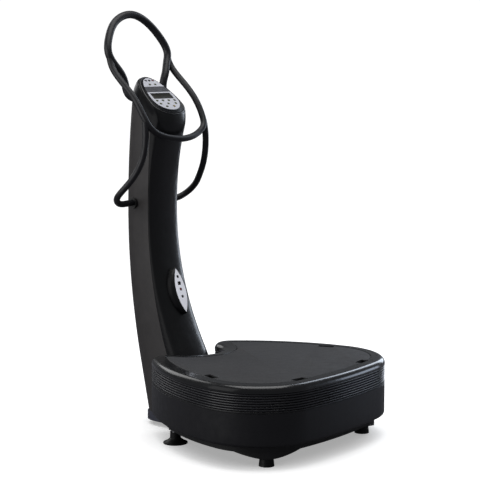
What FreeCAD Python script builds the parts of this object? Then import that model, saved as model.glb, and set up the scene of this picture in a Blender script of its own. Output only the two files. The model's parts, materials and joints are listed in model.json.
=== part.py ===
"""Vibration plate: a heart-shaped vibrating deck on a low housing, with a curved column,
a tilted console and a welded tubular handle. Millimetres, +Z up, the user stands at -Y facing +Y.
The origin is on the floor at the centre of the machine's bounding box."""

import FreeCAD, Part
import math
import os

Vec = FreeCAD.Vector
X_AXIS = Vec(1, 0, 0)
Y_AXIS = Vec(0, 1, 0)
Z_AXIS = Vec(0, 0, 1)

# ---- deck outline in plan: tangent arcs, seen from above ----
DECK_FRONT_Y = -456.0
FRONT_RADIUS = 1551.0
CORNER_CENTRE = Vec(182.0, -256.0, 0)
CORNER_RADIUS = 188.0
SIDE_CENTRE = Vec(-355.0, -323.0, 0)
BITE_CENTRE = Vec(0, 209.0, 0)
BITE_RADIUS = 178.0
HORN_RADIUS = 12.0
HORN_RADIUS_MIN = 6.0
CASE_OFFSET = 53.0
WALL = 4.0
FRAME_OFFSET = 16.0
FRAME_RIM = 8.0
HOUSING_ROLL = 10.0
HOUSING_OPENING = 6.0
CAP_ROLL = 20.0
PLATE_OFFSET = 10.0
SEAT_GAP = 1.5

# ---- heights of the platform's layers ----
FOOT_TOP_Z = 28.0
FRAME_FLOOR_Z = 56.0
FRAME_FLOOR_THICK = 6.0
FRAME_TOP_Z = 81.0
HOUSING_BOTTOM_Z = 81.0
HOUSING_TOP_Z = 204.0
BELLOWS_TOP_Z = 265.0
CAP_TOP_Z = 292.0
PLATE_BOTTOM_Z = 268.0
PLATE_TOP_Z = 283.0
MAT_TOP_Z = 291.0
RIDGE_COUNT = 7
RIDGE_PITCH = 8.6
RIDGE_HEIGHT = 5.6
RIDGE_START = 0.6
RIDGE_CREST = 1.0
BELLOWS_ROOT = (10.0, 7.0)

# ---- column: every line of it is an arc in side view ----
COLUMN_BOTTOM_Z = 50.0
COLUMN_WAIST_Z = 800.0
COLUMN_FRONT_Y = 322.0
COLUMN_FRONT_RADIUS = 880.0
COLUMN_SKIRT_Z = 300.0
COLUMN_SKIRT_RADIUS = 350.0
COLUMN_BACK_Y = 472.0
COLUMN_BACK_RADIUS_LOW = 2450.0
COLUMN_BACK_RADIUS_HIGH = 3125.0
COLUMN_HALF_WIDTH = 80.0
COLUMN_SIDE_RADIUS = 13000.0
FRONT_BULGE = 20.0
FRONT_BULGE_MAX = 75.0
BULGE_RATE_LOW = 2.0e-4
BULGE_RATE_HIGH = 4.0e-4
SHELL_WALL = 4.0
SECTION_STEPS = 36
LOFT_STEPS = 14
POST_HALF = (38.0, 30.0)
POST_WALL = 4.0
POST_SHIFT = 6.0
POST_HEIGHTS = (250.0, 450.0, 650.0, 850.0, 1050.0, 1190.0)
PLINTH_BOTTOM_Z = 18.0
PLINTH_WALL = 5.0
PLINTH_ROOF = 4.0
HEAD_SEAM_Z = 1122.0
SEAM_GAP = 1.2
COLUMN_TOP_Z = 1340.0
COLUMN_SAFE_Z = 1120.0

# ---- console face: a tilted plane with its own x and up-slope axes ----
FACE_TILT_DEG = 41.2
FACE_POINT = Vec(0, 336.5, 1226.6)
FACE_EGG = (-15.0, 70.0, 55.0, 119.0)
BEZEL_EGG = (-34.0, 79.0, 51.0, 143.0)
POCKET_EGG = (-15.0, 72.0, 57.0, 121.0)
BOARD_EGG = (-15.0, 66.0, 50.0, 115.0)
BEZEL_HEIGHT = 8.0
BEZEL_ROLL = 3.0
HEAD_CUT = -4.0
HEAD_ROOF = 20.0
HEAD_SIDE_DEPTH = -70.0
BRIDGE_V = (27.0, 56.0)
SCREEN_HALF_WIDTH = 56.0
SCREEN_LOW = -10.0
SCREEN_HIGH = 21.0
BUTTON_SIZE = (9.0, 6.0)
BUTTON_GAP = 0.4
BUTTON_RISE = 2.0
BUTTON_ROWS = (
    ("a", 90.0, 19.0, 3),
    ("b", 68.0, 30.0, 2),
    ("c", -19.5, 32.5, 4),
    ("d", -36.5, 42.0, 3),
    ("e", -51.5, 40.0, 2),
)

# ---- lower panel on the column's front ----
PANEL_TILT_DEG = 71.5
PANEL_POINT = Vec(0, 251.0, 506.0)
PANEL_POD = (57.0, 88.0)
PANEL_LEAF = (27.0, 84.0)
PANEL_BUTTON_SIZE = (8.0, 8.0)
PANEL_BUTTONS = (("top", 53.0), ("stop", 4.0), ("low", -24.0))
PANEL_SCREEN_V = 27.0
PANEL_SCREEN_SIZE = (15.0, 13.0)

# ---- handle tubes ----
HOOP_TUBE_R = 14.5
GRIP_TUBE_R = 12.0
TUBE_WALL = 2.5
TUBE_CLEARANCE = 1.0
HOOP_END_X = 14.0
COLLAR_R = 20.0
COLLAR_LENGTH = 18.0
COLLAR_Z = 831.5

# ---- feet, springs and the vibration drive ----
FRONT_FOOT = (290.0, -375.0)
FRONT_FOOT_R = (27.0, 24.0)
REAR_FOOT = (251.0, 66.0)
FRONT_BOSS_R = (31.0, 115.0)
BOSS_R = 24.0
BOSS_BOTTOM_Z = 50.0
BELL_R = 44.0
BELL_RIM_Z = 4.0
BELL_SHOULDER = (29.0, 12.0)
BELL_NECK_Z = 20.0
SLEEVE_R = 19.5
SLEEVE_TOP_Z = 42.0
SPINDLE_R = 14.0
SPINDLE_TOP_Z = 100.0
SPINDLE_CLEARANCE = 0.06
ISOLATORS = ((235.0, -320.0), (196.0, -4.0))
ISOLATOR_BOTTOM_Z = 150.0
ISOLATOR_R = 26.0
LOBE_R = 13.0
LOBE_SHARES = (0.27, 0.73)
SPRING_POST_R = (46.0, 34.0)
TONGUE_HALF_WIDTH = 70.0
TONGUE_REAR_Y = 300.0
BEAM_X = 62.0
BEAM_THICK = 12.0
BEAM_FRONT_Y = -380.0
CRADLE_THICK = 12.0
DRIVE_BOX = (105.0, -56.0, 34.0, 44.0)
BEAM_REAR_Y = -64.0
MOTOR_Z = 188.0
MOTOR_YS = {"front": -245.0, "rear": -75.0}
MOTOR_HALF_LENGTH = 105.0
MOTOR_R = 62.0
STATOR_R = 48.0
SHIELD_THICK = 14.0
FIN_COUNT = 6
FIN_PITCH = 24.0
FIN_HEIGHT = 3.0
CORE_R = 45.0
CORE_HALF_LENGTH = 60.0
SHAFT_R = 12.0
SHAFT_HALF_LENGTH = 150.0
BEARING_R = 21.0
BEARING_CLEARANCE = 0.05
WEIGHT_R = 56.0
WEIGHT_THICK = 30.0
WEIGHT_SETBACK = 4.0
HUB_R = 24.0
BOLT_XS = (-60.0, 60.0)
BOLT_YS = (-305.0, -160.0, -12.0)
ANCHORS = ((342.0, -176.0, 22.0), (190.0, -439.0, -82.0))
STRAP_SLOT = (30.0, 14.0)
CUP_WALL = 3.0
CUP_DEPTH = 14.0
CUP_MARGIN = 1.0
STRAP_BAR_R = 4.0


# ---------------------------------------------------------------- helpers


def export(shape, name):
    """Write one sub-part to its own STEP file."""
    shape.exportStep(os.path.join("parts", name + ".step"))


def block(x0, x1, y0, y1, z0, z1):
    """Box between two corners given axis by axis."""
    return Part.makeBox(x1 - x0, y1 - y0, z1 - z0, Vec(x0, y0, z0))


def rod(radius, start, end):
    """Solid cylinder between two points."""
    direction = end - start
    return Part.makeCylinder(radius, direction.Length, start, direction)


def fuse(shapes):
    """One solid from touching or overlapping shapes, without leftover seams."""
    return shapes[0].multiFuse(shapes[1:]).removeSplitter()


def mirror_x(shape):
    return shape.mirror(Vec(0, 0, 0), X_AXIS)


def both_sides(shape):
    """A group of two separate solids, left and right."""
    return Part.makeCompound([shape, mirror_x(shape)])


def unit(vector):
    return vector * (1.0 / vector.Length)


def circle_crossing(c1, d1, c2, d2, lower):
    """Where circles about c1 and c2 with radii d1 and d2 cross; lower picks the -Y one."""
    span = (c2 - c1).Length
    along = (span * span + d1 * d1 - d2 * d2) / (2 * span)
    across = math.sqrt(d1 * d1 - along * along)
    ex = unit(c2 - c1)
    ey = Vec(-ex.y, ex.x, 0)
    found = [c1 + ex * along + ey * across, c1 + ex * along - ey * across]
    found.sort(key=lambda p: p.y)
    return found[0] if lower else found[1]


def arc_about(centre, start, end):
    """The shorter arc about a centre from start to end."""
    radius = (start - centre).Length
    middle = centre + unit((start + end) * 0.5 - centre) * radius
    return Part.Arc(start, middle, end).toShape()


# ---------------------------------------------------------------- platform outline


def deck_arcs(offset):
    """The heart outline, moved outwards by offset, as a list of arcs in the plane z = 0."""
    front_c = Vec(0, DECK_FRONT_Y + FRONT_RADIUS, 0)
    side_r = (CORNER_CENTRE - SIDE_CENTRE).Length + CORNER_RADIUS + offset
    front_r = (CORNER_CENTRE - front_c).Length + CORNER_RADIUS + offset
    bite_r = BITE_RADIUS - offset
    horn_r = max(HORN_RADIUS + offset, HORN_RADIUS_MIN)
    horn_c = circle_crossing(SIDE_CENTRE, side_r - horn_r, BITE_CENTRE, bite_r + horn_r, True)
    if horn_c.x < 0:
        horn_c = circle_crossing(SIDE_CENTRE, side_r - horn_r, BITE_CENTRE, bite_r + horn_r, False)
    t1 = front_c + unit(CORNER_CENTRE - front_c) * front_r
    t2 = SIDE_CENTRE + unit(CORNER_CENTRE - SIDE_CENTRE) * side_r
    t3 = SIDE_CENTRE + unit(horn_c - SIDE_CENTRE) * side_r
    t4 = BITE_CENTRE + unit(horn_c - BITE_CENTRE) * bite_r
    half = [
        arc_about(CORNER_CENTRE, t1, t2),
        arc_about(SIDE_CENTRE, t2, t3),
        arc_about(horn_c, t3, t4),
    ]
    bite_middle = BITE_CENTRE - Y_AXIS * bite_r
    bite = Part.Arc(t4, bite_middle, Vec(-t4.x, t4.y, 0)).toShape()
    front_middle = front_c - Y_AXIS * front_r
    front = Part.Arc(Vec(-t1.x, t1.y, 0), front_middle, t1).toShape()
    other = [mirror_x(edge) for edge in reversed(half)]
    return [front] + half + [bite] + other


def slab(offset, z0, z1):
    """The heart outline as a solid between two heights."""
    wire = Part.Wire(Part.__sortEdges__(deck_arcs(offset)))
    face = Part.Face(wire)
    face.translate(Vec(0, 0, z0))
    return face.extrude(Vec(0, 0, z1 - z0))


def ring(outer, inner, z0, z1):
    """Band between two offsets of the heart outline."""
    return slab(outer, z0, z1).cut(slab(inner, z0 - 1, z1 + 1))


# ---------------------------------------------------------------- base


def foot_points(spot):
    """Floor points of a mirrored pair."""
    return [Vec(spot[0], spot[1], 0), Vec(-spot[0], spot[1], 0)]


def tongue():
    """Thick plate that carries the column behind the deck."""
    top = FRAME_FLOOR_Z + FRAME_FLOOR_THICK
    half = TONGUE_HALF_WIDTH
    return block(-half, half, -60, TONGUE_REAR_Y, COLUMN_BOTTOM_Z, top)


def base_frame():
    """Welded tray: floor, rim, two beams, spring posts, foot bosses and the column's tongue."""
    floor = slab(FRAME_OFFSET, FRAME_FLOOR_Z, FRAME_FLOOR_Z + FRAME_FLOOR_THICK)
    rim = ring(FRAME_OFFSET, FRAME_OFFSET - FRAME_RIM, FRAME_FLOOR_Z, FRAME_TOP_Z)
    pieces = [floor, rim, tongue()]
    low, high = FRONT_BOSS_R
    for p in foot_points(FRONT_FOOT):
        height = FRAME_FLOOR_Z - FOOT_TOP_Z
        pieces.append(Part.makeCone(low, high, height, p + Vec(0, 0, FOOT_TOP_Z)))
    for p in foot_points(REAR_FOOT):
        height = FRAME_TOP_Z - BOSS_BOTTOM_Z
        pieces.append(Part.makeCylinder(BOSS_R, height, p + Vec(0, 0, BOSS_BOTTOM_Z)))
    low, high = SPRING_POST_R
    for spot in ISOLATORS:
        for p in foot_points(spot):
            height = ISOLATOR_BOTTOM_Z - FRAME_FLOOR_Z
            pieces.append(Part.makeCone(low, high, height, p + Vec(0, 0, FRAME_FLOOR_Z)))
    for x in (-BEAM_X, BEAM_X - BEAM_THICK):
        beam = block(x, x + BEAM_THICK, BEAM_FRONT_Y, BEAM_REAR_Y, FRAME_FLOOR_Z, FRAME_TOP_Z)
        pieces.append(beam)
    frame = fuse(pieces)
    for p in foot_points(REAR_FOOT):
        bore = Part.makeCylinder(SPINDLE_R + SPINDLE_CLEARANCE, 60, p + Vec(0, 0, 40))
        frame = frame.cut(bore)
    # the wide front bosses may not stand out past the tray's rim
    limits = slab(FRAME_OFFSET + 0.5, 0, ISOLATOR_BOTTOM_Z)
    behind = block(-200, 200, 60, 400, 0, 200)
    return frame.common(limits.fuse(behind))


def front_feet():
    low, high = FRONT_FOOT_R
    foot = Part.makeCone(low, high, FOOT_TOP_Z, Vec(FRONT_FOOT[0], FRONT_FOOT[1], 0))
    return both_sides(foot)


def rear_foot(side):
    """Bell-shaped levelling foot with a plain sleeve; it turns with its spindle."""
    centre = Vec(side * REAR_FOOT[0], REAR_FOOT[1], 0)
    rim = Vec(BELL_R, 0, BELL_RIM_Z)
    neck = Vec(SLEEVE_R, 0, BELL_NECK_Z)
    lower = [Vec(0, 0, 0), Vec(BELL_R, 0, 0), rim]
    upper = [neck, Vec(SLEEVE_R, 0, SLEEVE_TOP_Z), Vec(0, 0, SLEEVE_TOP_Z), Vec(0, 0, 0)]
    edges = [Part.makeLine(a, b) for line in (lower, upper) for a, b in zip(line, line[1:])]
    shoulder = Vec(BELL_SHOULDER[0], 0, BELL_SHOULDER[1])
    edges.append(Part.Arc(rim, shoulder, neck).toShape())
    profile = Part.Face(Part.Wire(Part.__sortEdges__(edges)))
    foot = profile.revolve(Vec(0, 0, 0), Z_AXIS, 360)
    foot.translate(centre)
    return foot


def rear_spindle(side):
    """Steel stem that screws up through the frame's boss."""
    base = Vec(side * REAR_FOOT[0], REAR_FOOT[1], SLEEVE_TOP_Z)
    return Part.makeCylinder(SPINDLE_R, SPINDLE_TOP_Z - SLEEVE_TOP_Z, base)


def lower_housing():
    """Open-topped shell round the frame, rolled in at the bottom, with a lip under the bellows."""
    outer = slab(CASE_OFFSET, HOUSING_BOTTOM_Z, HOUSING_TOP_Z)
    edges = [e for e in outer.Edges if e.BoundBox.ZMax < HOUSING_BOTTOM_Z + 0.1]
    outer = outer.makeFillet(HOUSING_ROLL, edges)
    inner = slab(CASE_OFFSET - WALL, HOUSING_BOTTOM_Z + WALL, HOUSING_TOP_Z + 1)
    opening = slab(HOUSING_OPENING, HOUSING_BOTTOM_Z - 1, HOUSING_BOTTOM_Z + WALL + 1)
    lip = ring(CASE_OFFSET - WALL + 1, CASE_OFFSET - 16, HOUSING_TOP_Z - 6, HOUSING_TOP_Z - 3)
    return fuse([outer.cut(inner).cut(opening), lip])


def bellows():
    """Rubber ring with ribs between the housing and the moving cap."""
    inner, outer = BELLOWS_ROOT
    wall = ring(CASE_OFFSET - outer, CASE_OFFSET - inner, HOUSING_TOP_Z, BELLOWS_TOP_Z - 0.5)
    ridges = []
    for i in range(RIDGE_COUNT):
        z = HOUSING_TOP_Z + RIDGE_START + i * RIDGE_PITCH
        ridge = ring(CASE_OFFSET - RIDGE_CREST, CASE_OFFSET - inner + 1, z, z + RIDGE_HEIGHT)
        ridges.append(ridge)
    return fuse([wall] + ridges)


def strap_slot(spot, half_length, half_width, z0, z1):
    """Block across the deck's edge where a strap loops through."""
    x, y, turn = spot
    cutter = block(-half_width, half_width, -half_length, half_length, z0, z1)
    cutter.rotate(Vec(0, 0, 0), Z_AXIS, turn)
    cutter.translate(Vec(x, y, 0))
    return cutter


def cut_slots(shape, half_length, half_width):
    """Cut the four strap slots right through a layer of the deck."""
    for spot in ANCHORS:
        cutter = strap_slot(spot, half_length, half_width, 200, 300)
        shape = shape.cut(cutter).cut(mirror_x(cutter))
    return shape


def deck_cap():
    """Moulded rim cover that rides with the deck."""
    outer = slab(CASE_OFFSET, BELLOWS_TOP_Z, CAP_TOP_Z)
    outer = outer.makeFillet(CAP_ROLL, [e for e in outer.Edges if e.BoundBox.ZMin > CAP_TOP_Z - 0.1])
    under = CAP_TOP_Z - WALL
    inner = slab(CASE_OFFSET - WALL, BELLOWS_TOP_Z - 1, under)
    inner = inner.makeFillet(CAP_ROLL - 3, [e for e in inner.Edges if e.BoundBox.ZMin > under - 0.1])
    cap = outer.cut(inner).cut(slab(SEAT_GAP, BELLOWS_TOP_Z, CAP_TOP_Z + 1))
    return cut_slots(cap, STRAP_SLOT[0], STRAP_SLOT[1])


def deck_plate():
    plate = slab(PLATE_OFFSET, PLATE_BOTTOM_Z, PLATE_TOP_Z).cut(deck_bolts())
    return cut_slots(plate, STRAP_SLOT[0] - CUP_MARGIN / 2, STRAP_SLOT[1] - CUP_MARGIN / 2)


def deck_mat():
    return cut_slots(slab(0, PLATE_TOP_Z, MAT_TOP_Z), STRAP_SLOT[0], STRAP_SLOT[1])


def strap_anchors():
    """Four open cups in the deck's edge, each with a cross bar for a strap."""
    half_length = STRAP_SLOT[0] - CUP_MARGIN
    half_width = STRAP_SLOT[1] - CUP_MARGIN
    low = PLATE_BOTTOM_Z - CUP_DEPTH
    bar_end = Vec(0, half_length - CUP_WALL + 1, PLATE_TOP_Z - STRAP_BAR_R)
    solids = []
    for spot in ANCHORS:
        cup = strap_slot(spot, half_length, half_width, low, MAT_TOP_Z - 3)
        inside = (half_length - CUP_WALL, half_width - CUP_WALL)
        hollow = strap_slot(spot, inside[0], inside[1], low + CUP_WALL, MAT_TOP_Z + 1)
        bar = rod(STRAP_BAR_R, Vec(0, -bar_end.y, bar_end.z), bar_end)
        bar.rotate(Vec(0, 0, 0), Z_AXIS, spot[2])
        bar.translate(Vec(spot[0], spot[1], 0))
        anchor = cup.cut(hollow).fuse(bar)
        solids += [anchor, mirror_x(anchor)]
    return Part.makeCompound(solids)


def isolators():
    """Rubber air springs between the frame's posts and the deck plate."""
    height = PLATE_BOTTOM_Z - ISOLATOR_BOTTOM_Z
    solids = []
    for spot in ISOLATORS:
        for p in foot_points(spot):
            base = p + Vec(0, 0, ISOLATOR_BOTTOM_Z)
            lobes = [Part.makeCylinder(ISOLATOR_R, height, base)]
            for share in LOBE_SHARES:
                lobe = Part.makeTorus(ISOLATOR_R, LOBE_R, base + Vec(0, 0, height * share))
                lobes.append(lobe)
            solids.append(fuse(lobes))
    return Part.makeCompound(solids)


# ---------------------------------------------------------------- vibration drive


def motor_cradle():
    """Saddle plate under the deck with a cheek at each side that clasps both motors."""
    low = PLATE_BOTTOM_Z - CRADLE_THICK
    top = block(-112, 112, -325, 5, low, PLATE_BOTTOM_Z)
    cheeks = [block(x, x + CRADLE_THICK, -315, -5, MOTOR_Z - 20, low) for x in (-92, 80)]
    cradle = fuse([top] + cheeks)
    for y in MOTOR_YS.values():
        cradle = cradle.cut(shaft_rod(MOTOR_R, -200, 200, y))
    return cradle.cut(deck_bolts())


def shaft_rod(radius, x0, x1, y):
    """Cylinder along a motor's shaft line, between two positions across the machine."""
    return rod(radius, Vec(x0, y, MOTOR_Z), Vec(x1, y, MOTOR_Z))


def motor(y):
    """Motor body with its stator and two end shields, finned underneath."""
    half = MOTOR_HALF_LENGTH
    body = shaft_rod(MOTOR_R, -half, half, y)
    inside = shaft_rod(STATOR_R, -half + SHIELD_THICK, half - SHIELD_THICK, y)
    body = body.cut(inside).cut(shaft_rod(BEARING_R, -half - 1, half + 1, y))
    below = block(-half, half, y - 80, y + 80, MOTOR_Z - 80, MOTOR_Z - 30)
    fins = []
    for i in range(FIN_COUNT):
        x = (i - FIN_COUNT / 2 + 0.5) * FIN_PITCH
        fin = shaft_rod(MOTOR_R + FIN_HEIGHT, x - 2, x + 2, y)
        fins.append(fin.cut(shaft_rod(MOTOR_R - 1, x - 3, x + 3, y)).common(below))
    return fuse([body] + fins)


def motor_bearings():
    solids = []
    for y in MOTOR_YS.values():
        for x in (-MOTOR_HALF_LENGTH, MOTOR_HALF_LENGTH - SHIELD_THICK):
            race = shaft_rod(BEARING_R, x, x + SHIELD_THICK, y)
            bore = shaft_rod(SHAFT_R + BEARING_CLEARANCE, x - 1, x + SHIELD_THICK + 1, y)
            solids.append(race.cut(bore))
    return Part.makeCompound(solids)


def rotor(y):
    shaft = shaft_rod(SHAFT_R, -SHAFT_HALF_LENGTH, SHAFT_HALF_LENGTH, y)
    return shaft.fuse(shaft_rod(CORE_R, -CORE_HALF_LENGTH, CORE_HALF_LENGTH, y))


def eccentric_weights(y):
    """Half-round weights on both shaft ends; they hang down at rest."""
    solids = []
    near = SHAFT_HALF_LENGTH - WEIGHT_SETBACK
    for x0 in (-near, near - WEIGHT_THICK):
        x1 = x0 + WEIGHT_THICK
        disc = shaft_rod(WEIGHT_R, x0, x1, y)
        half = disc.common(block(x0, x1, y - 60, y + 60, MOTOR_Z - 60, MOTOR_Z))
        hub = shaft_rod(HUB_R, x0, x1, y)
        weight = half.fuse(hub).removeSplitter()
        solids.append(weight.cut(shaft_rod(SHAFT_R, x0 - 1, x1 + 1, y)))
    return Part.makeCompound(solids)


def drive_unit():
    """Inverter box on the frame floor with cooling ribs on top."""
    half_x, y0, y1, height = DRIVE_BOX
    z0 = FRAME_FLOOR_Z + FRAME_FLOOR_THICK
    z1 = z0 + height
    box = block(-half_x, half_x, y0, y1, z0, z1)
    ribs = [block(-95 + i * 16, -89 + i * 16, y0 + 2, y1 - 2, z1, z1 + 6) for i in range(12)]
    return fuse([box] + ribs)


# ---------------------------------------------------------------- column


def half_width(z):
    """Half of the column's width; it is narrowest a little above the waist."""
    return COLUMN_HALF_WIDTH + (z - COLUMN_WAIST_Z - 100) ** 2 / (2 * COLUMN_SIDE_RADIUS)


def front_y(z):
    """Front centreline: one long arc, turned upright again near the floor."""
    if z >= COLUMN_SKIRT_Z:
        return COLUMN_FRONT_Y - (z - COLUMN_WAIST_Z) ** 2 / (2 * COLUMN_FRONT_RADIUS)
    slope = (COLUMN_WAIST_Z - COLUMN_SKIRT_Z) / COLUMN_FRONT_RADIUS
    turn = slope * COLUMN_SKIRT_RADIUS
    below = min(COLUMN_SKIRT_Z - z, turn)
    start = COLUMN_FRONT_Y - (COLUMN_SKIRT_Z - COLUMN_WAIST_Z) ** 2 / (2 * COLUMN_FRONT_RADIUS)
    return start - slope * below + below**2 / (2 * COLUMN_SKIRT_RADIUS)


def bulge(z):
    """How far the rounded front stands out from the crease."""
    rate = BULGE_RATE_LOW if z < COLUMN_WAIST_Z else BULGE_RATE_HIGH
    grown = FRONT_BULGE + rate * (z - COLUMN_WAIST_Z) ** 2
    return min(grown, FRONT_BULGE_MAX) if z < COLUMN_WAIST_Z else grown


def crease_y(z):
    """Where the front cover meets the side cover."""
    return front_y(z) + bulge(z)


def back_y(z):
    """Rear centreline."""
    radius = COLUMN_BACK_RADIUS_LOW if z < COLUMN_WAIST_Z else COLUMN_BACK_RADIUS_HIGH
    return COLUMN_BACK_Y - (z - COLUMN_WAIST_Z) ** 2 / (2 * radius)


def column_section(z, inset):
    """Closed smooth section: round front, squarer rear with rounded corners."""
    a = half_width(z) - inset
    yc = crease_y(z)
    front = yc - front_y(z) - inset
    rear = back_y(z) - yc - inset
    points = []
    for i in range(SECTION_STEPS):
        t = 2 * math.pi * i / SECTION_STEPS
        c, s = math.cos(t), math.sin(t)
        power = 0.5 if s > 0 else 0.85
        reach = rear if s > 0 else front
        x = a * math.copysign(abs(c) ** power, c)
        y = yc + reach * math.copysign(abs(s) ** power, s)
        points.append(Vec(x, y, z))
    curve = Part.BSplineCurve()
    curve.interpolate(points, PeriodicFlag=True)
    return Part.Wire(curve.toShape())


def column_solid(inset, z0, z1):
    """The column's body between two heights, shrunk by inset all round."""
    heights = [z0 + (z1 - z0) * i / LOFT_STEPS for i in range(LOFT_STEPS + 1)]
    wires = [column_section(z, inset) for z in heights]
    return Part.makeLoft(wires, True, False)


def face_place(shape, depth=0.0):
    """Move a shape drawn in the console's own plane onto the machine."""
    moved = shape.copy()
    moved.translate(Vec(0, 0, depth))
    moved.rotate(Vec(0, 0, 0), X_AXIS, FACE_TILT_DEG)
    moved.translate(FACE_POINT)
    return moved


def above_face(depth):
    """Everything above the console plane moved by depth along its normal."""
    return face_place(block(-300, 300, -500, 400, 0, 500), depth)


def front_region(shift):
    """Everything in front of the crease line, as one wide block."""
    heights = [COLUMN_BOTTOM_Z - 20 + i * 70 for i in range(20)]
    points = [Vec(-200, crease_y(z) + shift, z) for z in heights]
    curve = Part.BSplineCurve()
    curve.interpolate(points)
    low = Vec(-200, -300, heights[0])
    high = Vec(-200, -300, heights[-1])
    edges = [
        curve.toShape(),
        Part.makeLine(points[-1], high),
        Part.makeLine(high, low),
        Part.makeLine(low, points[0]),
    ]
    return Part.Face(Part.Wire(edges)).extrude(Vec(400, 0, 0))


def head_region(shift):
    """The console head: above the seam in front, above a slanted line at the sides."""
    front = block(-300, 300, -300, 260, HEAD_SEAM_Z + shift, 1500)
    slanted = block(-300, 300, -400, 400, HEAD_SIDE_DEPTH + shift, 500)
    return fuse([front, face_place(slanted)])


def tube_cutters():
    """Clearance shapes where the handle tubes pass through the covers."""
    cutters = [sweep(hoop_path(), HOOP_TUBE_R + TUBE_CLEARANCE)]
    for side in (1, -1):
        cutters.append(sweep(branch_path(side), GRIP_TUBE_R + TUBE_CLEARANCE))
    return cutters


def column_shells():
    """Front cover, rear cover and console head, all cut from one hollow column."""
    outer = column_solid(0, COLUMN_BOTTOM_Z, COLUMN_TOP_Z).cut(above_face(HEAD_CUT))
    high_edges = [e for e in outer.Edges if e.BoundBox.ZMin > COLUMN_SAFE_Z]
    top_edges = [e for e in high_edges if e.BoundBox.ZLength > 60]
    outer = outer.makeFillet(6, top_edges[:1])
    inner = column_solid(SHELL_WALL, COLUMN_BOTTOM_Z - 5, COLUMN_TOP_Z + 5)
    inner = inner.cut(above_face(HEAD_CUT - HEAD_ROOF))
    pocket = face_place(egg_prism(POCKET_EGG, 60), -50)
    half = TONGUE_HALF_WIDTH + 2
    notch_top = FRAME_FLOOR_Z + FRAME_FLOOR_THICK + 2
    notch = block(-half, half, -100, TONGUE_REAR_Y + 2, COLUMN_BOTTOM_Z - 5, notch_top)
    shell = outer.cut(inner).cut(pocket).cut(notch)
    for cutter in tube_cutters():
        shell = shell.cut(cutter)
    port = rear_port_place(block(-33, 33, -33, 33, -40, 20))
    shell = shell.cut(port)
    head = shell.common(head_region(SEAM_GAP / 2))
    rest = shell.cut(head_region(-SEAM_GAP / 2))
    front = rest.common(front_region(-SEAM_GAP / 2)).cut(pod_recess())
    rear = rest.cut(front_region(SEAM_GAP / 2)).cut(cover_screws())
    return front, rear, head


def middle_y(z):
    return (front_y(z) + back_y(z)) / 2


def box_wire(half_x, half_y, y, z):
    corners = [Vec(-half_x, y - half_y, z), Vec(half_x, y - half_y, z)]
    corners += [Vec(half_x, y + half_y, z), Vec(-half_x, y + half_y, z)]
    return Part.makePolygon(corners + corners[:1])


def column_post():
    """Curved box-section steel post inside the covers, with the hoop's saddle on top."""

    def walls(inset):
        wires = []
        for z in (FRAME_FLOOR_Z + FRAME_FLOOR_THICK,) + POST_HEIGHTS:
            y = middle_y(z) + POST_SHIFT
            wires.append(box_wire(POST_HALF[0] - inset, POST_HALF[1] - inset, y, z))
        return Part.makeLoft(wires, True, True)

    saddle = block(-30, 30, 372, 408, 1176, 1221)
    tube = walls(0).cut(walls(POST_WALL))
    post = fuse([tube, saddle]).cut(sweep(hoop_path(), HOOP_TUBE_R))
    for side in (1, -1):
        post = post.cut(sweep(branch_path(side), GRIP_TUBE_R + TUBE_CLEARANCE))
    return post


def column_plinth():
    """Painted metal skirt under the column."""
    skirt = Part.Face(column_section(COLUMN_BOTTOM_Z, -PLINTH_WALL))
    body = skirt.extrude(Vec(0, 0, PLINTH_BOTTOM_Z - COLUMN_BOTTOM_Z))
    inner = Part.Face(column_section(COLUMN_BOTTOM_Z, 0))
    inner = inner.extrude(Vec(0, 0, PLINTH_BOTTOM_Z - PLINTH_ROOF - COLUMN_BOTTOM_Z))
    inner.translate(Vec(0, 0, -PLINTH_ROOF))
    return body.cut(inner)


# ---------------------------------------------------------------- handles


def smooth_edge(points):
    """Smooth curve through the given points."""
    curve = Part.BSplineCurve()
    curve.interpolate(points)
    return curve.toShape()


def hoop_path():
    """Hoop from one end inside the head, over its top, to the other end beside the first."""
    half = [
        Vec(HOOP_END_X, 394.3, 1221),
        Vec(60, 399, 1222),
        Vec(92, 413, 1229),
        Vec(102, 423, 1248),
        Vec(107, 427, 1275),
        Vec(125, 431, 1315),
        Vec(152, 447, 1358),
        Vec(164, 454, 1385),
        Vec(143, 473, 1448),
        Vec(90, 491, 1504),
    ]
    left = [Vec(-p.x, p.y, p.z) for p in reversed(half)]
    return smooth_edge(half + [Vec(0, 495.4, 1534)] + left)


def grip_path():
    """Grip bar: low across the front, then up and back to the hoop at both sides."""
    half = [
        Vec(0, 243, 1075),
        Vec(71, 249, 1082),
        Vec(117, 257, 1096),
        Vec(150, 264, 1119),
        Vec(165, 285, 1162),
        Vec(168, 324, 1223),
        Vec(169, 395, 1293),
        Vec(166, 435, 1336),
        Vec(163, 452, 1375),
    ]
    left = [Vec(-p.x, p.y, p.z) for p in reversed(half[1:])]
    return smooth_edge(left + half)


def branch_path(side):
    """Branch from the grip bar down, outwards and back into the column's side."""
    points = [
        Vec(166, 277, 1140),
        Vec(170, 271, 1094),
        Vec(175, 275, 1029),
        Vec(185, 296, 967),
        Vec(197, 324, 923),
        Vec(208, 354, 888),
        Vec(203, 385, 858),
        Vec(175, 403, 838),
        Vec(120, 412, 832),
        Vec(20, 416, 831),
    ]
    return smooth_edge([Vec(side * p.x, p.y, p.z) for p in points])


def sweep(edge, radius):
    """Round bar along a path."""
    path = Part.Wire(edge)
    start = edge.valueAt(edge.FirstParameter)
    tangent = edge.tangentAt(edge.FirstParameter)
    ring_wire = Part.Wire(Part.makeCircle(radius, start, tangent))
    return path.makePipeShell([ring_wire], True, True)


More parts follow.
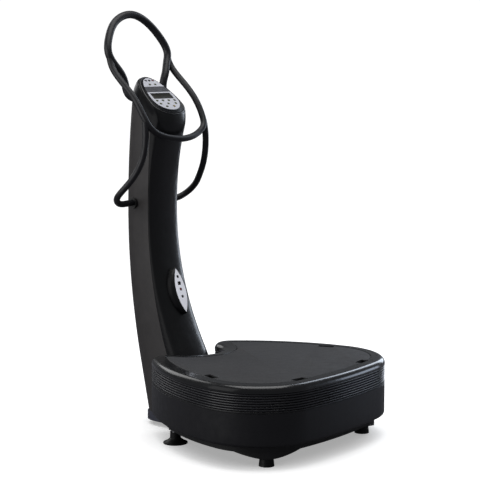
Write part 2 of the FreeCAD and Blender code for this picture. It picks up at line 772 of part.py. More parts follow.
def handles():
    """Hoop, grip and two branches, each coped to the tube that it is welded to."""
    hoop_out = sweep(hoop_path(), HOOP_TUBE_R)
    hoop = hoop_out.cut(sweep(hoop_path(), HOOP_TUBE_R - TUBE_WALL))
    grip_out = sweep(grip_path(), GRIP_TUBE_R)
    grip = grip_out.cut(sweep(grip_path(), GRIP_TUBE_R - TUBE_WALL)).cut(hoop_out)
    grip = biggest_solid(grip)
    branches = []
    for side in (1, -1):
        out = sweep(branch_path(side), GRIP_TUBE_R)
        branch = out.cut(sweep(branch_path(side), GRIP_TUBE_R - TUBE_WALL))
        branches.append(biggest_solid(branch.cut(grip_out)))
    return hoop, grip, branches[0], branches[1]


def biggest_solid(shape):
    """The main solid of a cut; the scraps are dropped."""
    return max(shape.Solids, key=lambda s: s.Volume)


def branch_collars():
    """Rubber collars where the branches enter the column's sides."""
    solids = []
    x0 = half_width(COLLAR_Z) - 8
    for side in (1, -1):
        start = Vec(side * x0, 414, COLLAR_Z)
        collar = rod(COLLAR_R, start, Vec(side * (x0 + COLLAR_LENGTH), 413, COLLAR_Z))
        hole = sweep(branch_path(side), GRIP_TUBE_R)
        collar = collar.cut(hole).cut(column_solid(-0.3, 700, 960))
        solids.append(biggest_solid(collar))
    return Part.makeCompound(solids)


# ---------------------------------------------------------------- console


def egg_wire(egg):
    """Egg outline: two half ellipses that share their widest line."""
    centre_v, half_x, low, high = egg
    centre = Vec(0, centre_v, 0)
    edges = []
    for reach, sign in ((high, 1), (low, -1)):
        side = Vec(half_x, centre_v, 0)
        far = Vec(0, centre_v + sign * reach, 0)
        if reach >= half_x:
            ellipse = Part.Ellipse(far, side, centre)
        else:
            ellipse = Part.Ellipse(side, far, centre)
        whole = ellipse.toShape()
        keep = block(-500, 500, centre_v, centre_v + 500, -1, 1)
        if sign < 0:
            keep = block(-500, 500, centre_v - 500, centre_v, -1, 1)
        edges += whole.common(keep).Edges
    return Part.Wire(Part.__sortEdges__(edges))


def egg_prism(egg, height):
    """Egg outline raised by height from the plane it is drawn in."""
    return Part.Face(egg_wire(egg)).extrude(Vec(0, 0, height))


def button_spots():
    """Name and position of every console key, row by row."""
    spots = {}
    for row, v, pitch, count in BUTTON_ROWS:
        for i in range(count):
            x = (i - (count - 1) / 2) * pitch
            spots["button_%s%d" % (row, i + 1)] = (x, v)
    return spots


def key(x, v, size, z0, z1, grow):
    """Rectangular key or opening, grown by a gap on all sides."""
    sx, sy = size[0] / 2 + grow, size[1] / 2 + grow
    return block(x - sx, x + sx, v - sy, v + sy, z0, z1)


def console_bezel():
    """Textured ring around the keypad, with a bridge above the screen."""
    outer = egg_prism(BEZEL_EGG, BEZEL_HEIGHT)
    top_edges = [e for e in outer.Edges if e.BoundBox.ZMin > BEZEL_HEIGHT - 0.1]
    outer = outer.makeFillet(BEZEL_ROLL, top_edges)
    inner = egg_prism(FACE_EGG, 20)
    inner.translate(Vec(0, 0, -5))
    bridge = egg_prism(FACE_EGG, 2.0).common(block(-90, 90, BRIDGE_V[0], BRIDGE_V[1], -10, 20))
    bridge.translate(Vec(0, 0, -HEAD_CUT))
    return face_place(fuse([outer.cut(inner), bridge]), HEAD_CUT)


def console_faceplate():
    """Keypad foil on its carrier, with openings for the screen and every key."""
    margin = 0.3
    centre_v, half_x, low, high = FACE_EGG
    plate = egg_prism((centre_v, half_x - margin, low - margin, high - margin), 4.0)
    plate = plate.cut(block(-90, 90, BRIDGE_V[0] - 0.5, BRIDGE_V[1] + 0.5, 2.0, 6))
    screen = block(-SCREEN_HALF_WIDTH, SCREEN_HALF_WIDTH, SCREEN_LOW, SCREEN_HIGH, -1, 6)
    plate = plate.cut(screen)
    for x, v in button_spots().values():
        plate = plate.cut(key(x, v, BUTTON_SIZE, -1, 6, BUTTON_GAP))
    return face_place(plate, -2)


def console_display():
    """Screen module: glass in front of its frame."""
    margin = 0.3
    shape = block(
        -SCREEN_HALF_WIDTH + margin,
        SCREEN_HALF_WIDTH - margin,
        SCREEN_LOW + margin,
        SCREEN_HIGH - margin,
        -9,
        0.5,
    )
    return face_place(shape)


def console_board():
    return face_place(egg_prism(BOARD_EGG, 2.0), -12)


def console_button(x, v):
    """Key cap with its stem reaching down to the board."""
    stem = key(x, v, BUTTON_SIZE, -8.5, 2 + BUTTON_RISE, 0)
    edges = [e for e in stem.Edges if e.BoundBox.ZMin > 1.9 + BUTTON_RISE]
    stem = stem.makeFillet(0.8, edges)
    return face_place(stem)


# ---------------------------------------------------------------- lower panel


def panel_place(shape):
    """Move a shape drawn in the lower panel's own plane onto the column."""
    moved = shape.copy()
    moved.rotate(Vec(0, 0, 0), X_AXIS, PANEL_TILT_DEG)
    moved.translate(PANEL_POINT)
    return moved


def ellipse_prism(half_x, half_v, z0, z1):
    """Upright ellipse between two levels; half_v is the longer half axis."""
    ellipse = Part.Ellipse(Vec(0, half_v, z0), Vec(half_x, 0, z0), Vec(0, 0, z0))
    return Part.Face(Part.Wire(ellipse.toShape())).extrude(Vec(0, 0, z1 - z0))


def leaf_prism(half_x, half_v, z0, z1):
    """Leaf outline: two arcs that meet in points at top and bottom."""
    top = Vec(0, half_v, z0)
    low = Vec(0, -half_v, z0)
    right = Part.Arc(top, Vec(half_x, 0, z0), low).toShape()
    left = Part.Arc(low, Vec(-half_x, 0, z0), top).toShape()
    return Part.Face(Part.Wire([right, left])).extrude(Vec(0, 0, z1 - z0))


def pod_recess():
    """Opening in the front cover behind the pod."""
    return panel_place(ellipse_prism(PANEL_POD[0] - 14, PANEL_POD[1] - 12, -60, 10))


def lower_pod():
    """Oval pod that carries the lower panel, shaped to sit on the column's front."""
    body = ellipse_prism(PANEL_POD[0], PANEL_POD[1], -50, 0)
    body = body.makeFillet(9, [e for e in body.Edges if e.BoundBox.ZMin > -0.1])
    body = panel_place(body).cut(column_solid(-0.2, 300, 720))
    body = biggest_solid(body)
    body = body.cut(panel_place(leaf_prism(PANEL_LEAF[0] + 0.3, PANEL_LEAF[1] + 0.6, -4, 5)))
    for name, v in PANEL_BUTTONS:
        body = body.cut(panel_place(key(0, v, PANEL_BUTTON_SIZE, -12, 5, BUTTON_GAP)))
    screen = key(0, PANEL_SCREEN_V, PANEL_SCREEN_SIZE, -12, 5, 0.3)
    return biggest_solid(body.cut(panel_place(screen)))


def lower_faceplate():
    """Leaf-shaped plate with openings for its screen and keys."""
    leaf = leaf_prism(PANEL_LEAF[0], PANEL_LEAF[1], -4, 0.6)
    for name, v in PANEL_BUTTONS:
        leaf = leaf.cut(key(0, v, PANEL_BUTTON_SIZE, -12, 5, BUTTON_GAP))
    leaf = leaf.cut(key(0, PANEL_SCREEN_V, PANEL_SCREEN_SIZE, -12, 5, 0.3))
    return panel_place(leaf)


def lower_display():
    return panel_place(key(0, PANEL_SCREEN_V, PANEL_SCREEN_SIZE, -11, 0.2, 0))


def lower_button(v):
    stem = key(0, v, PANEL_BUTTON_SIZE, -8, 2.2, 0)
    stem = stem.makeFillet(0.8, [e for e in stem.Edges if e.BoundBox.ZMin > 2.1])
    return panel_place(stem)


# ---------------------------------------------------------------- power port, fasteners

PORT_Z = 118.0
SWITCH_Y = 18.0
SWITCH_HALF_X = 10.8
SWITCH_GAP = 0.5
SWITCH_TILT_DEG = -10.0
PIVOT_R = 1.5
PIVOT_HALF_LENGTH = 12.8
PIVOT_CLEARANCE = 0.05
SCREW_HEIGHTS = (180.0, 480.0, 780.0, 1060.0)


def rear_port_place(shape):
    """Local x across, y up, z out of the column's rear face near the floor."""
    slope = math.degrees(math.atan((COLUMN_WAIST_Z - PORT_Z) / COLUMN_BACK_RADIUS_LOW))
    moved = shape.copy()
    moved.rotate(Vec(0, 0, 0), Z_AXIS, 180)
    moved.rotate(Vec(0, 0, 0), X_AXIS, -90 - slope)
    moved.translate(Vec(0, back_y(PORT_Z) - 2, PORT_Z))
    return moved


def switch_pivot(radius, half_length):
    """Cross pin on the rocker's turning axis."""
    return rod(radius, Vec(-half_length, SWITCH_Y, 0), Vec(half_length, SWITCH_Y, 0))


def power_inlet():
    """Inlet body with its socket, three pins and the well that the rocker turns in."""
    flange = block(-38, 38, -38, 38, 2.5, 5.5)
    body = block(-32.5, 32.5, -32.5, 32.5, -34, 2.5)
    shape = flange.fuse(body)
    socket = block(-14, 14, -24, -6, -18, 6)
    pins = [block(x - 1, x + 1, -17, -13, -18, -4) for x in (-7, 0, 7)]
    reach = SWITCH_HALF_X + SWITCH_GAP
    switch_well = block(-reach, reach, SWITCH_Y - 9.4, SWITCH_Y + 9.4, -16, 6)
    shape = shape.cut(socket).cut(switch_well)
    shape = shape.cut(switch_pivot(PIVOT_R + PIVOT_CLEARANCE, PIVOT_HALF_LENGTH + SWITCH_GAP))
    return rear_port_place(fuse([shape] + pins))


def power_switch():
    """Rocker turned to its off side about a cross axis in the middle of its well."""
    profile = [(-8, 4), (0, 2.2), (8, 4), (8.9, 0), (6, -6), (-6, -6), (-8.9, 0)]
    points = [Vec(-SWITCH_HALF_X, y, z) for y, z in profile]
    rocker = Part.Face(Part.makePolygon(points + points[:1])).extrude(Vec(2 * SWITCH_HALF_X, 0, 0))
    rocker.rotate(Vec(0, 0, 0), X_AXIS, SWITCH_TILT_DEG)
    rocker.translate(Vec(0, SWITCH_Y, 0))
    return rear_port_place(rocker.fuse(switch_pivot(PIVOT_R, PIVOT_HALF_LENGTH)))


def cover_screws():
    """Round-head screws down the middle of the rear cover."""
    solids = []
    for z in SCREW_HEIGHTS:
        y = back_y(z) - 0.5
        solids.append(rod(5.0, Vec(0, y, z), Vec(0, y + 2.5, z)))
    return Part.makeCompound(solids)


def deck_bolts():
    """Bolts up through the cradle into the deck plate."""
    solids = []
    low = PLATE_BOTTOM_Z - CRADLE_THICK
    for x in BOLT_XS:
        for y in BOLT_YS:
            head = rod(8.0, Vec(x, y, low - 6), Vec(x, y, low))
            shank = rod(5.0, Vec(x, y, low), Vec(x, y, PLATE_BOTTOM_Z + 9))
            solids.append(head.fuse(shank))
    return Part.makeCompound(solids)


# ---------------------------------------------------------------- build


def build():
    """Make every sub-part and write it to its own file."""
    os.makedirs("parts", exist_ok=True)
    front, rear, head = column_shells()
    hoop, grip, branch_right, branch_left = handles()
    shapes = {
        "base_frame": base_frame(),
        "front_feet": front_feet(),
        "rear_foot_left": rear_foot(-1),
        "rear_foot_right": rear_foot(1),
        "rear_spindle_left": rear_spindle(-1),
        "rear_spindle_right": rear_spindle(1),
        "lower_housing": lower_housing(),
        "bellows": bellows(),
        "deck_cap": deck_cap(),
        "deck_plate": deck_plate(),
        "deck_mat": deck_mat(),
        "strap_anchors": strap_anchors(),
        "isolators": isolators(),
        "motor_cradle": motor_cradle(),
        "motor_bearings": motor_bearings(),
        "drive_unit": drive_unit(),
        "column_plinth": column_plinth(),
        "column_post": column_post(),
        "column_front_shell": front,
        "column_rear_shell": rear,
        "head_shell": head,
        "upper_hoop": hoop,
        "front_grip": grip,
        "branch_right": branch_right,
        "branch_left": branch_left,
        "branch_collars": branch_collars(),
        "console_bezel": console_bezel(),
        "console_faceplate": console_faceplate(),
        "console_display": console_display(),
        "console_board": console_board(),
        "lower_pod": lower_pod(),
        "lower_faceplate": lower_faceplate(),
        "lower_display": lower_display(),
        "power_inlet": power_inlet(),
        "power_switch": power_switch(),
        "cover_screws": cover_screws(),
        "deck_bolts": deck_bolts(),
    }
    for name, y in MOTOR_YS.items():
        shapes[name + "_motor"] = motor(y)
        shapes[name + "_rotor"] = rotor(y)
        shapes[name + "_weights"] = eccentric_weights(y)
    for name, (x, v) in button_spots().items():
        shapes[name] = console_button(x, v)
    for name, v in PANEL_BUTTONS:
        shapes["panel_button_" + name] = lower_button(v)
    for name, shape in shapes.items():
        export(shape, name)
        print(name, len(shape.Solids), round(shape.Volume / 1000.0, 1), shape.isValid())
    print(len(shapes), "nodes")


build()
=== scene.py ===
"""Looks of the vibration plate: new rubber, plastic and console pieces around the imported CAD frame,
and a procedural material on every piece. Metres, in the CAD frame; the user stands at -Y."""

import json
import math

import bmesh
import bpy
from mathutils import Matrix, Vector, bvhtree, geometry


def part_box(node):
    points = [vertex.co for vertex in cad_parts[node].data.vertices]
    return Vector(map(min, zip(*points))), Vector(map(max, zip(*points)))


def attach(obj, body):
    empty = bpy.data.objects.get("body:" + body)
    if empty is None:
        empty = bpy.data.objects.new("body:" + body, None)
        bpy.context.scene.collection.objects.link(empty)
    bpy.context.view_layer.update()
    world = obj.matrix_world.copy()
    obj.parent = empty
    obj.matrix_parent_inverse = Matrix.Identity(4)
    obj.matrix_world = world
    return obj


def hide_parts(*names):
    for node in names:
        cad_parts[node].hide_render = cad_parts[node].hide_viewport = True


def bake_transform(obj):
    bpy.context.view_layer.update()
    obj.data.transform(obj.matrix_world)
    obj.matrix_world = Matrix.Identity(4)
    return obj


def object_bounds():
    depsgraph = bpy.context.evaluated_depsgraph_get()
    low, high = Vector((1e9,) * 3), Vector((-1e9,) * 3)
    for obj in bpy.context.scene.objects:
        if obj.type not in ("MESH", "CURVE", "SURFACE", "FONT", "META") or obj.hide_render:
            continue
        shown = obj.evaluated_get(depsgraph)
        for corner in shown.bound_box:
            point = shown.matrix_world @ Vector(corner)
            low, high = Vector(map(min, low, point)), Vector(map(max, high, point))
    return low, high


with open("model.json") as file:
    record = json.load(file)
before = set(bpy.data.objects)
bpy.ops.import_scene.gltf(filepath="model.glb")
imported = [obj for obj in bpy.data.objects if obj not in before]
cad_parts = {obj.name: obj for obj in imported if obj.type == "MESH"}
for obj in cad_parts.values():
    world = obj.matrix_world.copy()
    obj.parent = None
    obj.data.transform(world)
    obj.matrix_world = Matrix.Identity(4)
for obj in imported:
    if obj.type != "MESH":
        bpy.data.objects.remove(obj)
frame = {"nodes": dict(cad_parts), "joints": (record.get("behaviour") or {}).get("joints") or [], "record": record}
cad_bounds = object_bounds()
NODES = frame["nodes"]
MM = 0.001
WELD = 0.001 * MM
SHARP_DEG = 35.0

CAMERA_PLACE = (-4.308, -3.430, 1.400)
CAMERA_AZIMUTH_DEG = -51.73
CAMERA_ELEVATION_DEG = 7.09
LENS_MM = 114.37
SENSOR_MM = 36.0

# Area lights: place from the object's centre, width and height, power and colour.
NEUTRAL = (1.0, 1.0, 1.0)
AREA_LIGHTS = {
    "key_left": ((-3.0, 1.2, 0.9), (3.0, 3.0), 46, NEUTRAL),
    "key_soft": ((-3.0, 1.2, 0.9), (3.0, 3.0), 9, NEUTRAL),
    "top": ((0.1, -0.1, 2.6), (2.6, 2.6), 38, NEUTRAL),
    "rim_right": ((2.6, 0.1, 0.9), (0.8, 2.6), 19, (0.80, 0.88, 1.0)),
    "low_right": ((2.6, -1.9, -0.2), (1.2, 1.0), 9, (0.72, 0.82, 1.0)),
    "rim_back": ((0.4, 2.8, 1.3), (1.6, 1.8), 10, NEUTRAL),
}
GLOSSY = ("console_head", "column_front_shell", "lower_pod_dome", "rim_cap")
LOW_PARTS = ("housing_shell", "bellows_ribs", "rim_cap")
LEAF_FILL = 14.0
FLOOR_WASH = 2.4
FLOOR_WASH_SPREAD_DEG = 100.0
FLOOR_GLOW = 0.37
FLOOR_SIZE = 60.0
WORLD_SEEN = 1.05
WORLD_FELT = 0.10

# ---------------------------------------------------------------- node materials


class Graph:
    """A material's node tree with short ways to add to it."""

    def __init__(self, name):
        self.material = bpy.data.materials.new(name)
        self.material.use_nodes = True
        self.tree = self.material.node_tree
        self.shader = self.tree.nodes["Principled BSDF"]
        self.coords = self.add("ShaderNodeTexCoord").outputs["Object"]

    def add(self, kind, **values):
        node = self.tree.nodes.new(kind)
        for key, value in values.items():
            setattr(node, key, value)
        return node

    def link(self, source, target):
        self.tree.links.new(source, target)

    def put(self, name, value):
        self.shader.inputs[name].default_value = value

    def noise(self, scale, detail=3.0, stretch=None):
        """Noise value, with its cell size given in metres."""
        node = self.add("ShaderNodeTexNoise")
        node.inputs["Scale"].default_value = 1.0 / scale
        node.inputs["Detail"].default_value = detail
        self.link(self.stretched(stretch), node.inputs["Vector"])
        return node.outputs["Fac"]

    def cells(self, scale):
        """Distance to the nearest of many scattered points, with their spacing given in metres."""
        node = self.add("ShaderNodeTexVoronoi")
        node.inputs["Scale"].default_value = 1.0 / scale
        self.link(self.coords, node.inputs["Vector"])
        return node.outputs["Distance"]

    def stretched(self, stretch):
        """Object coordinates, scaled along each axis if asked."""
        if stretch is None:
            return self.coords
        mapping = self.add("ShaderNodeMapping")
        mapping.inputs["Scale"].default_value = stretch
        self.link(self.coords, mapping.inputs["Vector"])
        return mapping.outputs["Vector"]

    def spread(self, source, low, high, start=0.3, stop=0.7):
        """Map a 0..1 value to low..high."""
        node = self.add("ShaderNodeMapRange")
        names = ("From Min", "From Max", "To Min", "To Max")
        for key, value in zip(names, (start, stop, low, high)):
            node.inputs[key].default_value = value
        self.link(source, node.inputs["Value"])
        return node.outputs["Result"]

    def mix(self, factor, a, b):
        """Mix two colours, or a colour socket and a colour."""
        node = self.add("ShaderNodeMix", data_type="RGBA")
        self.link(factor, node.inputs["Factor"])
        for key, value in ((6, a), (7, b)):
            if isinstance(value, bpy.types.NodeSocket):
                self.link(value, node.inputs[key])
            else:
                node.inputs[key].default_value = (*value, 1.0)
        return node.outputs[2]

    def maths(self, operation, a, b):
        """Sum, product and so on of two values or sockets."""
        node = self.add("ShaderNodeMath", operation=operation)
        for i, value in enumerate((a, b)):
            if isinstance(value, bpy.types.NodeSocket):
                self.link(value, node.inputs[i])
            else:
                node.inputs[i].default_value = value
        return node.outputs[0]

    def bump(self, height, depth):
        """Add a bump of a given depth in metres on top of those added before."""
        node = self.add("ShaderNodeBump")
        node.inputs["Strength"].default_value = 1.0
        node.inputs["Distance"].default_value = depth
        self.link(height, node.inputs["Height"])
        normal = self.shader.inputs["Normal"]
        if normal.links:
            self.link(normal.links[0].from_socket, node.inputs["Normal"])
        self.link(node.outputs["Normal"], normal)

    def edges(self):
        """Worn edges: 0 on flats, 1 on sharp convex edges, broken up by noise."""
        pointy = self.add("ShaderNodeNewGeometry").outputs["Pointiness"]
        sharp = self.spread(pointy, 0.0, 1.0, 0.54, 0.64)
        return self.maths("MULTIPLY", sharp, self.spread(self.noise(4 * MM), 0.2, 1.0))


def surface(name, color, rough, grain=0.4 * MM, depth=0.02 * MM, tint=0.12, patch=60 * MM, wear=0.25):
    """A general material: base colour with slow tint, patchy roughness, fine grain bump, worn edges.

    grain and patch are the sizes of the bump and of the tint, depth is the bump's height, all in metres.
    """
    g = Graph(name)
    dark = tuple(c * (1 - tint) for c in color)
    light = tuple(min(1.0, c * (1 + tint)) for c in color)
    base = g.mix(g.spread(g.noise(patch), 0.0, 1.0), dark, light)
    worn = tuple(min(1.0, c + wear * (0.35 - 0.3 * c)) for c in color)
    edge = g.maths("MULTIPLY", g.edges(), min(1.0, 2.0 * wear))
    g.link(g.mix(edge, base, worn), g.shader.inputs["Base Color"])
    patchy = g.spread(g.noise(patch * 0.4, 5.0), rough * 0.85, min(1.0, rough * 1.15))
    g.link(patchy, g.shader.inputs["Roughness"])
    g.bump(g.noise(grain, 4.0), depth)
    return g


def gloss_black():
    """Polished black moulding: thin clear coat with a very slight orange peel and hazing."""
    g = surface("gloss_black", (0.0078, 0.0080, 0.0095), 0.34, grain=40 * MM, depth=0.004 * MM, wear=0.04)
    g.put("Coat Weight", 0.35)
    g.put("Coat Roughness", 0.16)
    return g.material


def cap_gloss():
    """The platform's rim cover: the same moulding under a fuller clear coat."""
    g = surface("cap_gloss", (0.0105, 0.0108, 0.0125), 0.30, grain=30 * MM, depth=0.004 * MM, wear=0.04)
    g.put("Coat Weight", 0.9)
    g.put("Coat Roughness", 0.13)
    return g.material


def satin_black():
    """Fine-textured moulding of the column's rear and side cover."""
    g = surface("satin_black", (0.052, 0.048, 0.048), 0.5, grain=0.7 * MM, depth=0.012 * MM, wear=0.08)
    return g.material


def housing_black():
    """Smooth moulding of the platform's lower housing."""
    color = (0.0085, 0.0085, 0.0105)
    g = surface("housing_black", color, 0.40, grain=0.6 * MM, depth=0.010 * MM, wear=0.06)
    g.put("Coat Weight", 0.15)
    g.put("Coat Roughness", 0.25)
    return g.material


def bellows_rubber():
    """Smooth, slightly shiny rubber of the ribbed band."""
    g = surface("bellows_rubber", (0.021, 0.021, 0.025), 0.30, grain=0.9 * MM, depth=0.006 * MM, wear=0.05)
    g.put("Coat Weight", 0.5)
    g.put("Coat Roughness", 0.2)
    return g.material


def soft_rubber(name, color, rough):
    """Matt rubber, cast metal or paint with a visible grain."""
    g = surface(name, color, rough, grain=0.8 * MM, depth=0.06 * MM, wear=0.15)
    return g.material


def mat_rubber():
    """Deck mat: close round pimples over a fine speckled grain."""
    g = Graph("mat_rubber")
    speckle = g.spread(g.noise(0.9 * MM, 2.0), 0.0, 1.0)
    base = g.mix(speckle, (0.036, 0.036, 0.038), (0.070, 0.070, 0.074))
    scuff = g.spread(g.noise(110 * MM, 4.0), 0.0, 0.35, 0.45, 0.75)
    g.link(g.mix(scuff, base, (0.072, 0.071, 0.072)), g.shader.inputs["Base Color"])
    g.link(g.spread(g.noise(30 * MM, 5.0), 0.62, 0.8), g.shader.inputs["Roughness"])
    g.bump(g.cells(2.4 * MM), 0.25 * MM)
    g.bump(g.noise(0.5 * MM), 0.05 * MM)
    return g.material


def handle_coat():
    """Satin powder coat on the tubes."""
    g = surface("handle_coat", (0.0135, 0.0135, 0.0165), 0.42, grain=0.9 * MM, depth=0.009 * MM, wear=0.06)
    return g.material


def bezel_grey():
    """Woven look on the band across the keypad: two crossed sets of fine ribs."""
    g = surface("bezel_grey", (0.075, 0.077, 0.090), 0.42, grain=0.5 * MM, depth=0.02 * MM, wear=0.2)
    for turn in (45.0, -45.0):
        mapping = g.add("ShaderNodeMapping")
        mapping.inputs["Rotation"].default_value = (0.0, 0.0, math.radians(turn))
        g.link(g.coords, mapping.inputs["Vector"])
        wave = g.add("ShaderNodeTexWave")
        wave.inputs["Scale"].default_value = 140.0
        wave.inputs["Distortion"].default_value = 0.0
        g.link(mapping.outputs["Vector"], wave.inputs["Vector"])
        g.bump(wave.outputs["Fac"], 0.25 * MM)
    return g.material


def bezel_black():
    """Dark satin moulding of the ridged ring round the keypad."""
    g = surface("bezel_black", (0.016, 0.0165, 0.020), 0.40, grain=0.5 * MM, depth=0.008 * MM, wear=0.06)
    return g.material


def keypad_white():
    """Printed pale membrane under a smooth film."""
    color = (0.84, 0.85, 0.92)
    g = surface("keypad_white", color, 0.34, grain=0.5 * MM, depth=0.008 * MM, tint=0.03, wear=0.05)
    return g.material


def key_rubber(name, color):
    """Silicone key, tinted unevenly over a few millimetres."""
    g = surface(name, color, 0.45, grain=0.4 * MM, depth=0.015 * MM, wear=0.2, patch=6 * MM)
    return g.material


def screen_glass():
    """Dark olive liquid crystal behind a dull clear window."""
    g = surface("screen_glass", (0.026, 0.025, 0.019), 0.36, depth=0.004 * MM, tint=0.05, wear=0.0)
    g.put("Specular IOR Level", 0.25)
    return g.material


def metal(name, color, rough, stretch=(1.0, 1.0, 12.0)):
    """Turned or brushed metal: fine lines and smudged roughness."""
    g = Graph(name)
    g.put("Metallic", 1.0)
    lines = g.noise(0.6 * MM, 4.0, stretch)
    g.link(g.mix(lines, tuple(c * 0.8 for c in color), color), g.shader.inputs["Base Color"])
    smudge = g.spread(g.noise(14 * MM, 5.0), rough * 0.75, rough * 1.3)
    g.link(smudge, g.shader.inputs["Roughness"])
    g.bump(lines, 0.02 * MM)
    return g.material


def plinth_paint():
    """Blue-grey hammered paint on the column's foot."""
    g = surface("plinth_paint", (0.095, 0.098, 0.125), 0.42, grain=1.2 * MM, depth=0.05 * MM, wear=0.3)
    g.put("Metallic", 0.35)
    return g.material


MATERIALS = {
    "frame_paint": soft_rubber("frame_paint", (0.012, 0.012, 0.013), 0.5),
    "foot_rubber": soft_rubber("foot_rubber", (0.006, 0.006, 0.006), 0.42),
    "housing_black": housing_black(),
    "bellows_rubber": bellows_rubber(),
    "spring_rubber": soft_rubber("spring_rubber", (0.014, 0.014, 0.014), 0.55),
    "drive_case": metal("drive_case", (0.55, 0.56, 0.58), 0.45),
    "plinth_paint": plinth_paint(),
    "gloss_black": gloss_black(),
    "cap_gloss": cap_gloss(),
    "bezel_black": bezel_black(),
    "satin_black": satin_black(),
    "handle_coat": handle_coat(),
    "bezel_grey": bezel_grey(),
    "keypad_white": keypad_white(),
    "screen_glass": screen_glass(),
    "board_green": soft_rubber("board_green", (0.02, 0.12, 0.04), 0.4),
    "plate_metal": metal("plate_metal", (0.42, 0.42, 0.45), 0.4, (1.0, 12.0, 1.0)),
    "mat_rubber": mat_rubber(),
    "bright_steel": metal("bright_steel", (0.62, 0.62, 0.64), 0.28),
    "motor_cast": soft_rubber("motor_cast", (0.05, 0.06, 0.075), 0.55),
    "key_green": key_rubber("key_green", (0.13, 0.15, 0.045)),
    "key_red": key_rubber("key_red", (0.26, 0.03, 0.022)),
    "key_yellow": key_rubber("key_yellow", (0.42, 0.30, 0.03)),
    "key_dark": key_rubber("key_dark", (0.016, 0.016, 0.02)),
}


def paint_cad_nodes():
    """Give every CAD solid its material, with shading normals weighted by face area."""
    for part in frame["record"]["subparts"]:
        node = NODES[part["node"]]
        node.data.materials.clear()
        node.data.materials.append(MATERIALS[part["material_slot"]])
        node.modifiers.new("even_shading", "WEIGHTED_NORMAL").keep_sharp = True


# ---------------------------------------------------------------- mesh helpers


def piece(name, verts, faces, look, body=None, sharp_deg=SHARP_DEG):
    """A new mesh piece, smooth-shaded except over sharp edges, with a material and a body."""
    mesh = bpy.data.meshes.new(name)
    mesh.from_pydata([tuple(v) for v in verts], [], faces)
    tidy = bmesh.new()
    tidy.from_mesh(mesh)
    bmesh.ops.remove_doubles(tidy, verts=tidy.verts, dist=WELD)
    bmesh.ops.recalc_face_normals(tidy, faces=tidy.faces)
    tidy.to_mesh(mesh)
    tidy.free()
    mesh.shade_smooth()
    mesh.set_sharp_from_angle(angle=math.radians(sharp_deg))
    obj = bpy.data.objects.new(name, mesh)
    bpy.context.scene.collection.objects.link(obj)
    mesh.materials.append(MATERIALS[look])
    if body:
        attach(obj, body)
    return obj


def welded(node):
    """The CAD node's mesh as a bmesh with its split corners joined."""
    bm = bmesh.new()
    bm.from_mesh(NODES[node].data)
    bmesh.ops.remove_doubles(bm, verts=bm.verts, dist=WELD)
    return bm


def longest_rim(node, z):
    """The outer edge loop of a node's flat face at height z, in order."""
    bm = welded(node)
    chosen = {}
    for e in bm.edges:
        if len(e.link_faces) != 2 or any(abs(v.co.z - z) > 1e-5 for v in e.verts):
            continue
        tilts = sorted(abs(f.normal.z) for f in e.link_faces)
        if tilts[0] < 0.2 and tilts[1] > 0.9:
            for v, w in (e.verts, reversed(e.verts)):
                chosen.setdefault(v, []).append(w)
    loops = []
    seen = set()
    for start in chosen:
        if start in seen:
            continue
        loop = [start]
        seen.add(start)
        while True:
            following = [w for w in chosen[loop[-1]] if w not in seen]
            if not following:
                break
            loop.append(following[0])
            seen.add(following[0])
        loops.append([v.co.copy() for v in loop])
    bm.free()
    return max(loops, key=lambda pts: sum((a - b).length for a, b in zip(pts, pts[1:])))


def spaced(points, step):
    """A closed loop resampled at even steps."""
    points = points + points[:1]
    lengths = [0.0]
    for a, b in zip(points, points[1:]):
        lengths.append(lengths[-1] + (b - a).length)
    count = round(lengths[-1] / step)
    result = []
    at = 0
    for i in range(count):
        target = lengths[-1] * i / count
        while lengths[at + 1] < target:
            at += 1
        share = (target - lengths[at]) / max(1e-12, lengths[at + 1] - lengths[at])
        result.append(points[at].lerp(points[at + 1], share))
    return result


class Outline:
    """The platform's plan outline with its outward normals."""

    def __init__(self, node, z, step):
        points = spaced(longest_rim(node, z), step)
        area = sum(a.x * b.y - b.x * a.y for a, b in zip(points, points[1:] + points[:1]))
        if area < 0:
            points.reverse()
        self.points = points
        count = len(points)
        self.normals = []
        for i in range(count):
            along = points[(i + 1) % count] - points[i - 1]
            self.normals.append(Vector((along.y, -along.x, 0.0)).normalized())

    def ring(self, inset, z):
        """The outline moved inwards by inset, at height z."""
        return [Vector((p.x, p.y, z)) - n * inset for p, n in zip(self.points, self.normals)]


def swept(outline, profile, closed=True):
    """Vertices and quads of a profile of (inset, z) pairs carried round the outline."""
    verts = []
    for inset, z in profile:
        verts += outline.ring(inset, z)
    count = len(outline.points)
    rows = len(profile)
    faces = []
    for r in range(rows if closed else rows - 1):
        low, high = r * count, ((r + 1) % rows) * count
        for i in range(count):
            j = (i + 1) % count
            faces.append((low + i, low + j, high + j, high + i))
    return verts, faces


def corner(centre, radius, start_deg, stop_deg, steps):
    """Points of an arc in the (inset, z) plane; 0 degrees points outwards, 90 up."""
    points = []
    for i in range(steps + 1):
        t = math.radians(start_deg + (stop_deg - start_deg) * i / steps)
        points.append((centre[0] - radius * math.cos(t), centre[1] + radius * math.sin(t)))
    return points


def islands(node):
    """Vertex lists of a CAD node's separate solids."""
    bm = welded(node)
    left = set(bm.verts)
    groups = []
    while left:
        stack = [left.pop()]
        group = []
        while stack:
            v = stack.pop()
            group.append(v.co.copy())
            for e in v.link_edges:
                w = e.other_vert(v)
                if w in left:
                    left.discard(w)
                    stack.append(w)
        groups.append(group)
    bm.free()
    return groups


